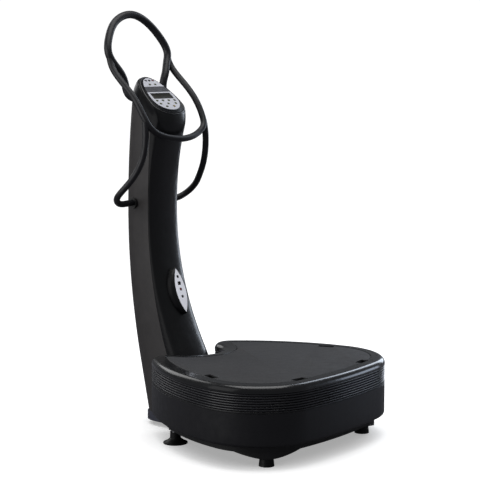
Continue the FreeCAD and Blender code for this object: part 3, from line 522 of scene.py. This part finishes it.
def cut(obj, cutters):
    """Subtract closed meshes, then remove them."""
    for cutter in cutters:
        modifier = obj.modifiers.new("cut", "BOOLEAN")
        modifier.operation = "DIFFERENCE"
        modifier.solver = "EXACT"
        modifier.object = cutter
        with bpy.context.temp_override(object=obj, active_object=obj):
            bpy.ops.object.modifier_apply(modifier=modifier.name)
    for cutter in cutters:
        bpy.data.objects.remove(cutter)
    obj.data.shade_smooth()
    obj.data.set_sharp_from_angle(angle=math.radians(SHARP_DEG))


# ---------------------------------------------------------------- platform

HOUSING_LOW, HOUSING_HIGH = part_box("lower_housing")
CAP_LOW, CAP_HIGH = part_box("deck_cap")
MAT_LOW, MAT_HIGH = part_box("deck_mat")
RIM = Outline("lower_housing", HOUSING_HIGH.z, 6 * MM)
MAT_INSET = HOUSING_HIGH.x - MAT_HIGH.x
RIDGES = 7
STRAP_CORNER = 5 * MM
STRAP_GAP = 0.8 * MM


def rounded_block(centre, along, half_length, half_width, radius, z0, z1):
    """Closed slot-shaped cutter with rounded plan corners."""
    across = Vector((-along.y, along.x, 0.0))
    ring = []
    for sx, sy, first in ((1, 1, 0), (-1, 1, 90), (-1, -1, 180), (1, -1, 270)):
        for step in range(7):
            t = math.radians(first + 15 * step)
            a = sx * (half_length - radius) + radius * math.cos(t)
            b = sy * (half_width - radius) + radius * math.sin(t)
            ring.append(centre + along * a + across * b)
    count = len(ring)
    verts = [Vector((p.x, p.y, z)) for z in (z0, z1) for p in ring]
    faces = [(i, (i + 1) % count, count + (i + 1) % count, count + i) for i in range(count)]
    faces += [tuple(reversed(range(count))), tuple(range(count, 2 * count))]
    mesh = bpy.data.meshes.new("cutter")
    mesh.from_pydata([tuple(v) for v in verts], [], faces)
    obj = bpy.data.objects.new("cutter", mesh)
    bpy.context.scene.collection.objects.link(obj)
    return obj


def anchor_frames():
    """Centre and long direction of each strap cup, read from the CAD node."""
    frames = []
    for group in islands("strap_anchors"):
        flat = [Vector((p.x, p.y, 0.0)) for p in group]
        centre = sum(flat, Vector()) / len(flat)
        xx = sum((p.x - centre.x) ** 2 for p in flat)
        yy = sum((p.y - centre.y) ** 2 for p in flat)
        xy = sum((p.x - centre.x) * (p.y - centre.y) for p in flat)
        turn = 0.5 * math.atan2(2 * xy, xx - yy)
        along = Vector((math.cos(turn), math.sin(turn), 0.0))
        across = Vector((-along.y, along.x, 0.0))
        a = [(p - centre).dot(along) for p in flat]
        b = [(p - centre).dot(across) for p in flat]
        middle = centre + along * (max(a) + min(a)) / 2 + across * (max(b) + min(b)) / 2
        frames.append((middle, along, (max(a) - min(a)) / 2, (max(b) - min(b)) / 2))
    return frames


def strap_cutters(grow):
    """Cutters for the strap slots, grown all round to clear the cups."""
    cutters = []
    for centre, along, half_length, half_width in anchor_frames():
        sizes = (half_length + grow, half_width + grow, STRAP_CORNER)
        levels = (MAT_LOW.z - 60 * MM, MAT_HIGH.z + 20 * MM)
        cutters.append(rounded_block(centre, along, *sizes, *levels))
    return cutters


def build_housing():
    """Lower shell with a rolled bottom edge, a shallow groove near its top and a turned-in lip."""
    z0, z1 = HOUSING_LOW.z, HOUSING_HIGH.z
    roll = 11 * MM
    wall = 4 * MM
    profile = corner((roll, z0 + roll), roll, -90, 0, 8)
    profile += [(0.0, z0 + 40 * MM), (0.0, z1 - 12 * MM), (0.0, z1 - 7.2 * MM)]
    profile += [(1.2 * MM, z1 - 6.4 * MM), (1.2 * MM, z1 - 5.6 * MM), (0.0, z1 - 4.8 * MM)]
    profile += corner((1.5 * MM, z1 - 1.5 * MM), 1.5 * MM, 0, 90, 3)
    profile += [(14 * MM, z1), (14 * MM, z1 - wall), (wall, z1 - wall)]
    profile += [(wall, z0 + roll), (wall + 6 * MM, z0 + wall), (44 * MM, z0 + wall), (44 * MM, z0)]
    verts, faces = swept(RIM, profile)
    shell = piece("housing_shell", verts, faces, "housing_black", "base")
    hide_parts("lower_housing")


def build_bellows():
    """Rubber ring with seven rounded ribs between the base and the deck."""
    z0, z1 = HOUSING_HIGH.z, CAP_LOW.z
    pitch = (z1 - z0 - 0.4 * MM) / RIDGES
    crown, root = 0.6 * MM, 8.0 * MM
    half = pitch * 0.43
    outer = [(root, z0)]
    for i in range(RIDGES):
        middle = z0 + 0.2 * MM + pitch * (i + 0.5)
        for k in range(13):
            t = math.radians(-90 + 15 * k)
            rise = max(0.0, math.cos(t)) ** 0.75
            height = half * math.copysign(abs(math.sin(t)) ** 0.8, t)
            outer.append((root - (root - crown) * rise, middle + height))
        if i < RIDGES - 1:
            outer.append((root + 0.5 * MM, middle + pitch / 2))
    outer.append((root, z1))
    inner = [(root + 3 * MM, z1), (root + 3 * MM, z0)]
    verts, faces = swept(RIM, outer + inner)
    ring = piece("bellows_ribs", verts, faces, "bellows_rubber", None, 80.0)
    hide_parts("bellows")
    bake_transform(ring)


def build_cap():
    """Glossy rim cover: small lip, round shoulder, top that falls a little outwards."""
    z0, z1 = CAP_LOW.z, CAP_HIGH.z
    inner = MAT_INSET - 1.5 * MM
    shoulder = 22 * MM
    wall = 3.5 * MM
    fall = 1.6 * MM
    profile = [(wall, z0), (0.8 * MM, z0), (0.0, z0 + 0.8 * MM), (0.0, z0 + 2.4 * MM)]
    profile += corner((shoulder, z1 - fall - shoulder), shoulder, 0, 84, 14)
    profile += [(shoulder + 8 * MM, z1 - 1.0 * MM), (inner - 3.2 * MM, z1 - 0.4 * MM)]
    profile += [(inner - 1.6 * MM, z1), (inner - 0.4 * MM, z1 - 0.3 * MM), (inner, z1 - 1.2 * MM)]
    profile += [(inner, z1 - 5 * MM), (shoulder + 6 * MM, z1 - 7.5 * MM), (wall + 2 * MM, z0 + 9 * MM)]
    verts, faces = swept(RIM, profile)
    cap = piece("rim_cap", verts, faces, "cap_gloss", "deck")
    cut(cap, strap_cutters(STRAP_GAP))
    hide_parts("deck_cap")


def build_mat():
    """Rubber mat with a rounded edge and four strap slots."""
    z0, z1 = MAT_LOW.z, MAT_HIGH.z
    edge = MAT_INSET
    profile = [(edge, z0), (edge, z1 - 1.6 * MM), (edge + 0.5 * MM, z1 - 0.5 * MM), (edge + 1.6 * MM, z1)]
    verts, faces = swept(RIM, profile, closed=False)
    count = len(RIM.points)
    faces.append(tuple(range(3 * count, 4 * count)))
    faces.append(tuple(reversed(range(count))))
    mat = piece("deck_mat_top", verts, faces, "mat_rubber", "deck")
    cut(mat, strap_cutters(STRAP_GAP))
    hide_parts("deck_mat")


# ---------------------------------------------------------------- tilted panels


class Panel:
    """A tilted control face: x across, v up the slope, h out of it, in metres.

    The slope comes from a button's press axis, and v = 0 is the plate's widest line.
    """

    def __init__(self, joint, plate):
        press = next(j["axis"] for j in frame["joints"] if j["name"] == joint)
        self.out = -Vector(press).normalized()
        self.across = Vector((1.0, 0.0, 0.0))
        self.up = self.out.cross(self.across)
        self.origin = Vector((0.0, 0.0, 0.0))
        self.origin = self.at(0.0, self.widest(plate), self.middle(plate))

    def at(self, x, v, h):
        """The point in the frame for panel coordinates."""
        return self.origin + self.across * x + self.up * v + self.out * h

    def local(self, node):
        """A node's mesh points in panel coordinates."""
        points = [v.co - self.origin for v in NODES[node].data.vertices]
        return [(p.dot(self.across), p.dot(self.up), p.dot(self.out)) for p in points]

    def widest(self, node):
        """The v at which a node reaches furthest across."""
        points = self.local(node)
        reach = max(p[0] for p in points)
        level = [p[1] for p in points if p[0] > reach - 0.02 * MM]
        return sum(level) / len(level)

    def middle(self, node):
        """The h halfway through a node."""
        heights = [p[2] for p in self.local(node)]
        return (max(heights) + min(heights)) / 2

    def span(self, node):
        """((x0, x1), (v0, v1), (h0, h1)) of a CAD node on this panel."""
        points = self.local(node)
        return [(min(p[k] for p in points), max(p[k] for p in points)) for k in range(3)]


def egg_loop(centre, half, low, high, count, grow=0.0):
    """Two half ellipses that share their widest line, as (x, v) pairs."""
    loop = []
    for i in range(count):
        t = 2 * math.pi * i / count
        reach = high if math.sin(t) > 0 else low
        loop.append(((half + grow) * math.cos(t), centre + (reach + grow) * math.sin(t)))
    return loop


def box_loop(x0, x1, v0, v1, radius, steps=6):
    """Rounded rectangle as (x, v) pairs."""
    loop = []
    centres = ((x1 - radius, v1 - radius), (x0 + radius, v1 - radius), (x0 + radius, v0 + radius))
    centres += ((x1 - radius, v0 + radius),)
    for quarter, (cx, cv) in enumerate(centres):
        for step in range(steps + 1):
            t = math.pi / 2 * (quarter + step / steps)
            loop.append((cx + radius * math.cos(t), cv + radius * math.sin(t)))
    return loop


def stacked(panel, loops):
    """Vertices and quads through loops of equal length, each a list of (x, v, h)."""
    count = len(loops[0])
    verts = [panel.at(*p) for loop in loops for p in loop]
    faces = []
    for r in range(len(loops) - 1):
        for i in range(count):
            j = (i + 1) % count
            faces.append((r * count + i, r * count + j, (r + 1) * count + j, (r + 1) * count + i))
    return verts, faces


def lifted(loop, h):
    """Give every (x, v) of a loop the height h."""
    return [(x, v, h) for x, v in loop]


def capped(verts, faces, count):
    """Close the first and last loop of a stack."""
    faces.append(tuple(reversed(range(count))))
    faces.append(tuple(range(len(verts) - count, len(verts))))
    return verts, faces


CONSOLE = Panel("button_a1_press", "console_faceplate")
LOWER = Panel("panel_button_top_press", "lower_faceplate")


def bezel_ring():
    """Textured ring that slopes gently down from the keypad to the head's rim."""
    (_, half_in), (low_in, high_in), (_, top) = CONSOLE.span("console_faceplate")
    (_, half_out), (low_out, high_out), (bottom, _) = CONSOLE.span("console_bezel")
    centre_out = CONSOLE.widest("console_bezel")
    count = 160
    inner = egg_loop(0.0, half_in, -low_in, high_in, count, 0.3 * MM)
    outer = egg_loop(centre_out, half_out, centre_out - low_out, high_out - centre_out, count)
    steps = [(0.0, bottom), (0.0, top), (0.02, top + 0.5 * MM), (0.06, top + 0.6 * MM)]
    ridges = 5
    for i in range(4 * ridges + 1):
        share = 0.12 + 0.76 * i / (4 * ridges)
        ripple = 0.45 * MM * (1 - math.cos(math.pi * i / 2))
        steps.append((share, top + 0.2 * MM - 2.2 * MM * share - ripple))
    steps += [(0.93, top - 1.9 * MM), (0.97, top - 2.3 * MM), (1.0, top - 3.4 * MM)]
    steps += [(1.0, bottom), (0.0, bottom)]
    loops = []
    for share, h in steps:
        pairs = zip(inner, outer)
        loops.append([(a + (c - a) * share, b + (d - b) * share, h) for (a, b), (c, d) in pairs])
    ring = piece("bezel_ring", *stacked(CONSOLE, loops), "bezel_black", "base")
    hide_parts("console_bezel")


def bezel_bridge():
    """Low grey band across the keypad above the screen, set in the faceplate's step."""
    (_, half), (_, high), (_, top) = CONSOLE.span("console_faceplate")
    screen_top = CONSOLE.span("console_display")[1][1]
    first_row = CONSOLE.span("button_b1")[1][0]
    v0, v1 = screen_top + 5.7 * MM, first_row - 8.6 * MM
    rows = 6
    loop = []
    for side in (1, -1):
        order = range(rows + 1) if side > 0 else reversed(range(rows + 1))
        for r in order:
            v = v0 + (v1 - v0) * r / rows
            loop.append((side * (half * math.sqrt(1 - (v / high) ** 2) - 0.4 * MM), v))
    middle = (v0 + v1) / 2
    crown = ((0.0, 0.0), (0.0, top - 0.4 * MM), (0.6 * MM, top + 0.1 * MM), (5 * MM, top + 0.5 * MM))
    loops = []
    for shrink, h in crown:
        squeeze = 1 - shrink / (v1 - v0) * 2
        loops.append([(x - math.copysign(shrink, x), middle + (v - middle) * squeeze, h) for x, v in loop])
    verts, faces = stacked(CONSOLE, loops)
    verts, faces = capped(verts, faces, len(loop))
    piece("bezel_bridge", verts, faces, "bezel_grey", "base")


def window(panel, node, name, border):
    """Screen: raised dark frame round a sunken window."""
    (x0, x1), (v0, v1), (h0, h1) = panel.span(node)
    radius = 1.6 * MM
    section = [(0, h0), (0, h1 + 0.1 * MM), (0.4 * MM, h1 + 0.6 * MM), (border - 0.5 * MM, h1 + 0.5 * MM)]
    section += [(border, h1), (border + 0.3 * MM, h1 - 1.6 * MM), (border + 0.3 * MM, h0)]
    frame_loops = []
    for inset, h in section:
        corner_r = max(0.6 * MM, radius - inset * 0.3)
        loop = box_loop(x0 + inset, x1 - inset, v0 + inset, v1 - inset, corner_r)
        frame_loops.append(lifted(loop, h))
    frame_loops.append(frame_loops[0])
    ring = piece(name + "_frame", *stacked(panel, frame_loops), "key_dark", "base")
    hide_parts(node)
    inside = border - 0.2 * MM
    glass = []
    for h, pull in ((h1 - 3 * MM, 0.0), (h1 - 0.9 * MM, 0.0), (h1 - 0.7 * MM, 0.5 * MM)):
        edge = inside + pull
        loop = box_loop(x0 + edge, x1 - edge, v0 + edge, v1 - edge, 0.7 * MM)
        glass.append(lifted(loop, h))
    verts, faces = capped(*stacked(panel, glass), len(glass[0]))
    piece(name + "_glass", verts, faces, "screen_glass", "base")


def key_cap(panel, node):
    """Soft key: rounded outline, dished skirt and crowned top."""
    (x0, x1), (v0, v1), (h0, h1) = panel.span(node)
    radius = min(x1 - x0, v1 - v0) * 0.38
    section = [(0.0, h0), (0.0, h1 - 1.3 * MM), (0.15 * MM, h1 - 0.7 * MM), (0.6 * MM, h1 - 0.22 * MM)]
    section += [(1.4 * MM, h1 - 0.05 * MM), (2.2 * MM, h1)]
    loops = []
    for inset, h in section:
        loop = box_loop(x0 + inset, x1 - inset, v0 + inset, v1 - inset, max(0.4 * MM, radius - inset))
        loops.append(lifted(loop, h))
    verts, faces = capped(*stacked(panel, loops), len(loops[0]))
    record = frame["record"]
    slot = next(part["material_slot"] for part in record["subparts"] if part["node"] == node)
    cap = piece(node + "_cap", verts, faces, slot, node + "_key")
    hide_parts(node)


def key_shade_rings(panel, plate, nodes, name):
    """Thin raised lips on the plate, one round each key, as a single piece; their dark colour is painted shade
    round each key.
    """
    top = panel.span(plate)[2][1]
    section = ((1.5, -0.3), (1.45, 0.25), (1.1, 0.45), (0.6, 0.45), (0.32, 0.2), (0.32, -0.3))
    verts, faces = [], []
    for node in nodes:
        (x0, x1), (v0, v1), _ = panel.span(node)
        loops = []
        for grow, rise in section:
            grow *= MM
            loop = box_loop(x0 - grow, x1 + grow, v0 - grow, v1 + grow, 2.2 * MM + grow)
            loops.append(lifted(loop, top + rise * MM))
        loops.append(loops[0])
        more_verts, more_faces = stacked(panel, loops)
        first = len(verts)
        verts += more_verts
        faces += [tuple(first + i for i in face) for face in more_faces]
    # key_dark here is painted shade: the lips darken the plate next to each key as its shadow would.
    piece(name, verts, faces, "key_dark", "base", 50.0)


def hull_section(tree, panel, h, centre_v, count):
    """Outer section of a CAD shell on the plane at height h, as radii at even angles.

    Rays run in from outside; a convex hull bridges the openings where tubes pass through.
    """
    hits = []
    reach = 0.4
    for i in range(count):
        t = 2 * math.pi * i / count
        start = panel.at(reach * math.cos(t), centre_v + reach * math.sin(t), h)
        place, _, _, _ = tree.ray_cast(start, (panel.at(0.0, centre_v, h) - start).normalized(), reach)
        if place:
            offset = place - panel.origin
            hits.append((offset.dot(panel.across), offset.dot(panel.up)))
    hull = [hits[k] for k in geometry.convex_hull_2d([Vector(q) for q in hits])]
    radii = []
    for i in range(count):
        t = 2 * math.pi * i / count
        c, sn = math.cos(t), math.sin(t)
        best = 0.0
        for (ax, av), (bx, bv) in zip(hull, hull[1:] + hull[:1]):
            ex, ev = bx - ax, bv - av
            across = c * ev - sn * ex
            if abs(across) < 1e-12:
                continue
            ox, ov = ax, av - centre_v
            along = (ox * ev - ov * ex) / across
            share = (ox * sn - ov * c) / across
            if -1e-6 <= share <= 1.0 + 1e-6:
                best = max(best, along)
        radii.append(best)
    return radii


def egg_radius(t, half, low, high):
    """Radius at angle t of two half ellipses that share their widest line."""
    reach = high if math.sin(t) > 0 else low
    return 1.0 / math.hypot(math.cos(t) / half, math.sin(t) / reach)


def build_head():
    """Console head: follows the column's section low down and rounds in to an egg-shaped rim."""
    tree = bvhtree.BVHTree.FromBMesh(welded("head_shell"))
    floor_h = CONSOLE.span("head_shell")[2][0] + 0.4 * MM
    (_, half), (low_v, high_v), (_, _) = CONSOLE.span("console_bezel")
    centre = CONSOLE.widest("console_bezel")
    low, high = centre - low_v, high_v - centre
    crest = -5.0 * MM
    lip = 8.0 * MM
    count = 144
    lean = 0.86
    angles = [2 * math.pi * i / count for i in range(count)]

    def rim(grow):
        return [egg_radius(t, half + grow, low + grow, high + grow) for t in angles]

    steps = 26
    levels = [floor_h + (crest - floor_h) * (i / steps) ** 0.8 for i in range(steps + 1)]
    centres = [centre + lean * (h - crest) for h in levels]
    sections = [hull_section(tree, CONSOLE, h, v, count) for h, v in zip(levels, centres)]
    edge = rim(lip)
    loops = []
    for h, v, radii in zip(levels, centres, sections):
        loop = []
        for t, radius, top, target in zip(angles, radii, sections[-1], edge):
            depth = min(0.060, 0.026 + 1.4 * abs(target - top))
            share = min(1.0, max(0.0, (h - crest + depth) / depth))
            reach = radius + (target - top) * share**1.9
            loop.append((reach * math.cos(t), v + reach * math.sin(t), h))
        loops.append(loop)
    roll = ((7.5, 1.5), (6.4, 2.8), (4.8, 3.6), (3.2, 3.7), (1.6, 3.0), (0.5, 1.8), (0.3, -3.0))
    rings = [(1.0, crest + rise * MM, centre, rim(grow * MM)) for grow, rise in roll]
    rings.append((0.9, crest - 8 * MM, centre, rim(0.0)))
    rings.append((0.95, levels[0], centres[0], sections[0]))
    for scale, h, v, radii in rings:
        pairs = zip(angles, radii)
        loops.append([(scale * r * math.cos(t), v + scale * r * math.sin(t), h) for t, r in pairs])
    loops.append(loops[0])
    head = piece("console_head", *stacked(CONSOLE, loops), "gloss_black", "base", 50.0)
    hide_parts("head_shell")


def almond(half_x, half_v, power, count):
    """Pointed oval as (x, v) pairs; a higher power sharpens its tips."""
    loop = []
    for i in range(count):
        t = 2 * math.pi * i / count
        v = math.sin(t)
        x = math.copysign(max(0.0, 1.0 - v * v) ** power, math.cos(t))
        loop.append((half_x * x, half_v * v))
    return loop


def build_pod():
    """Domed pod on the column's front with a thin raised lip round its leaf-shaped plate."""
    (_, leaf_x), (_, leaf_v), (_, top) = LOWER.span("lower_faceplate")
    (_, pod_v), (depth, _) = LOWER.span("lower_pod")[1:]
    pod_x = leaf_x + 19 * MM
    count = 96
    loops = []
    lip = ((0.4, -4.0), (0.4, 0.2), (0.9, 0.7), (1.9, 0.8), (2.7, 0.3))
    for grow, rise in lip:
        outline = almond(leaf_x + grow * MM, leaf_v + 1.2 * grow * MM, 0.96, count)
        loops.append(lifted(outline, top + rise * MM))
    steps = 16
    for i in range(1, steps + 1):
        share = i / steps
        bend = math.sin(share * math.pi / 2)
        outline = almond(
            leaf_x + 3 * MM + (pod_x - leaf_x - 3 * MM) * bend,
            leaf_v + 3.6 * MM + (pod_v - leaf_v - 1.0 * MM) * bend,
            0.96 - 0.36 * bend,
            count,
        )
        loops.append(lifted(outline, top + (depth - top) * (1.0 - math.cos(share * math.pi / 2))))
    loops.append([(0.8 * x, 0.8 * v, h) for x, v, h in loops[-1]])
    verts, faces = capped(*stacked(LOWER, loops), count)
    pod = piece("lower_pod_dome", verts, faces, "housing_black", "base", 45.0)
    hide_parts("lower_pod")


def build_console():
    """Head, pod, ring, screens and keys of both control panels."""
    build_head()
    build_pod()
    bezel_ring()
    bezel_bridge()
    window(CONSOLE, "console_display", "console_screen", 3.2 * MM)
    window(LOWER, "lower_display", "lower_screen", 1.8 * MM)
    keys = [node for node in sorted(NODES) if node.startswith("button_")]
    low_keys = [node for node in sorted(NODES) if node.startswith("panel_button_")]
    # Dark lips of painted shade round the keys of both panels.
    key_shade_rings(CONSOLE, "console_faceplate", keys, "key_lips")
    key_shade_rings(LOWER, "lower_faceplate", low_keys, "lower_key_lips")
    for node in keys:
        key_cap(CONSOLE, node)
    for node in low_keys:
        key_cap(LOWER, node)


# ---------------------------------------------------------------- stage


def floor():
    """Pale seamless floor: bright to the camera, dim in the object's reflections."""
    mesh = bpy.data.meshes.new("floor")
    corners = [(x * FLOOR_SIZE, y * FLOOR_SIZE, 0) for x, y in ((-1, -1), (1, -1), (1, 1), (-1, 1))]
    mesh.from_pydata(corners, [], [(0, 1, 2, 3)])
    obj = bpy.data.objects.new("floor", mesh)
    bpy.context.scene.collection.objects.link(obj)
    g = Graph("floor_white")
    seen = g.add("ShaderNodeLightPath").outputs["Is Camera Ray"]
    pale = g.mix(g.noise(0.8), (0.84, 0.84, 0.84), (0.86, 0.86, 0.86))
    g.link(g.mix(seen, (0.10, 0.10, 0.11), pale), g.shader.inputs["Base Color"])
    g.link(g.maths("MULTIPLY", seen, FLOOR_GLOW), g.shader.inputs["Emission Strength"])
    g.put("Emission Color", (1.0, 1.0, 1.0, 1.0))
    g.put("Roughness", 0.9)
    g.put("Specular IOR Level", 0.0)
    mesh.materials.append(g.material)
    return obj


def aim(obj, place, target):
    """Put a light at a place and turn it to the target."""
    bpy.context.scene.collection.objects.link(obj)
    obj.location = place
    obj.rotation_euler = (Vector(target) - Vector(place)).to_track_quat("-Z", "Y").to_euler()


def area_light(name, place, target, size, power, color=NEUTRAL):
    """Rectangular soft light."""
    data = bpy.data.lights.new(name, "AREA")
    data.shape = "RECTANGLE"
    data.size, data.size_y = size
    data.energy = power
    data.color = color
    obj = bpy.data.objects.new(name, data)
    aim(obj, place, target)
    return obj


def only_lights(light, targets):
    """Make a light shine on the given objects alone."""
    lit = bpy.data.collections.new(light.name + "_targets")
    for target in targets:
        lit.objects.link(target)
    light.light_linking.receiver_collection = lit


def floor_wash(target):
    """Broad overhead light that only brightens the floor; the object shades it."""
    data = bpy.data.lights.new("floor_wash", "SUN")
    data.energy = FLOOR_WASH
    data.angle = math.radians(FLOOR_WASH_SPREAD_DEG)
    obj = bpy.data.objects.new("floor_wash", data)
    aim(obj, (-0.4, -0.3, 3.0), (0.0, 0.0, 0.0))
    only_lights(obj, [target])


def leaf_fill(target):
    """Small reflector that lifts the lower keypad, which faces away from the top light."""
    place = LOWER.at(-0.4, 0.5, 1.6)
    light = area_light("leaf_fill", place, LOWER.origin, (0.8, 0.8), LEAF_FILL)
    only_lights(light, [target])


def backdrop():
    """White to the camera, dim to the object, so that dark gloss stays dark."""
    world = bpy.data.worlds.new("studio")
    bpy.context.scene.world = world
    world.use_nodes = True
    tree = world.node_tree
    nodes = tree.nodes
    shown = nodes["Background"]
    shown.inputs["Color"].default_value = (1.0, 1.0, 1.0, 1.0)
    shown.inputs["Strength"].default_value = WORLD_SEEN
    felt = nodes.new("ShaderNodeBackground")
    felt.inputs["Color"].default_value = (0.92, 0.95, 1.0, 1.0)
    felt.inputs["Strength"].default_value = WORLD_FELT
    path = nodes.new("ShaderNodeLightPath")
    blend = nodes.new("ShaderNodeMixShader")
    tree.links.new(path.outputs["Is Camera Ray"], blend.inputs["Fac"])
    tree.links.new(felt.outputs["Background"], blend.inputs[1])
    tree.links.new(shown.outputs["Background"], blend.inputs[2])
    tree.links.new(blend.outputs["Shader"], nodes["World Output"].inputs["Surface"])


def studio():
    """All the lights; the polished parts get a weaker key than the matt ones."""
    low, high = cad_bounds
    centre = (Vector(low) + Vector(high)) / 2
    glossy = [bpy.data.objects[name] for name in GLOSSY]
    matt = [obj for obj in bpy.context.scene.objects if obj.type == "MESH" and obj not in glossy]
    lights = {}
    for name, (place, size, power, color) in AREA_LIGHTS.items():
        lights[name] = area_light(name, centre + Vector(place), centre, size, power, color)
    only_lights(lights["key_left"], matt)
    only_lights(lights["key_soft"], glossy)
    only_lights(lights["low_right"], [bpy.data.objects[name] for name in LOW_PARTS])
    floor_wash(floor())
    leaf_fill(NODES["lower_faceplate"])


def camera():
    """Long lens from the machine's left front, slightly above its middle."""
    turn = math.radians(CAMERA_AZIMUTH_DEG)
    rise = math.radians(CAMERA_ELEVATION_DEG)
    back = Vector((math.sin(turn) * math.cos(rise), -math.cos(turn) * math.cos(rise), math.sin(rise)))
    right = Vector((math.cos(turn), math.sin(turn), 0.0))
    up = back.cross(right)
    data = bpy.data.cameras.new("camera")
    data.lens = LENS_MM
    data.sensor_width = SENSOR_MM
    obj = bpy.data.objects.new("camera", data)
    bpy.context.scene.collection.objects.link(obj)
    turned = Matrix((right, up, back)).transposed().to_4x4()
    obj.matrix_world = Matrix.Translation(CAMERA_PLACE) @ turned
    bpy.context.scene.camera = obj
    bpy.context.scene.view_settings.view_transform = "Standard"


paint_cad_nodes()
build_housing()
build_bellows()
build_cap()
build_mat()
build_console()
backdrop()
studio()
camera()
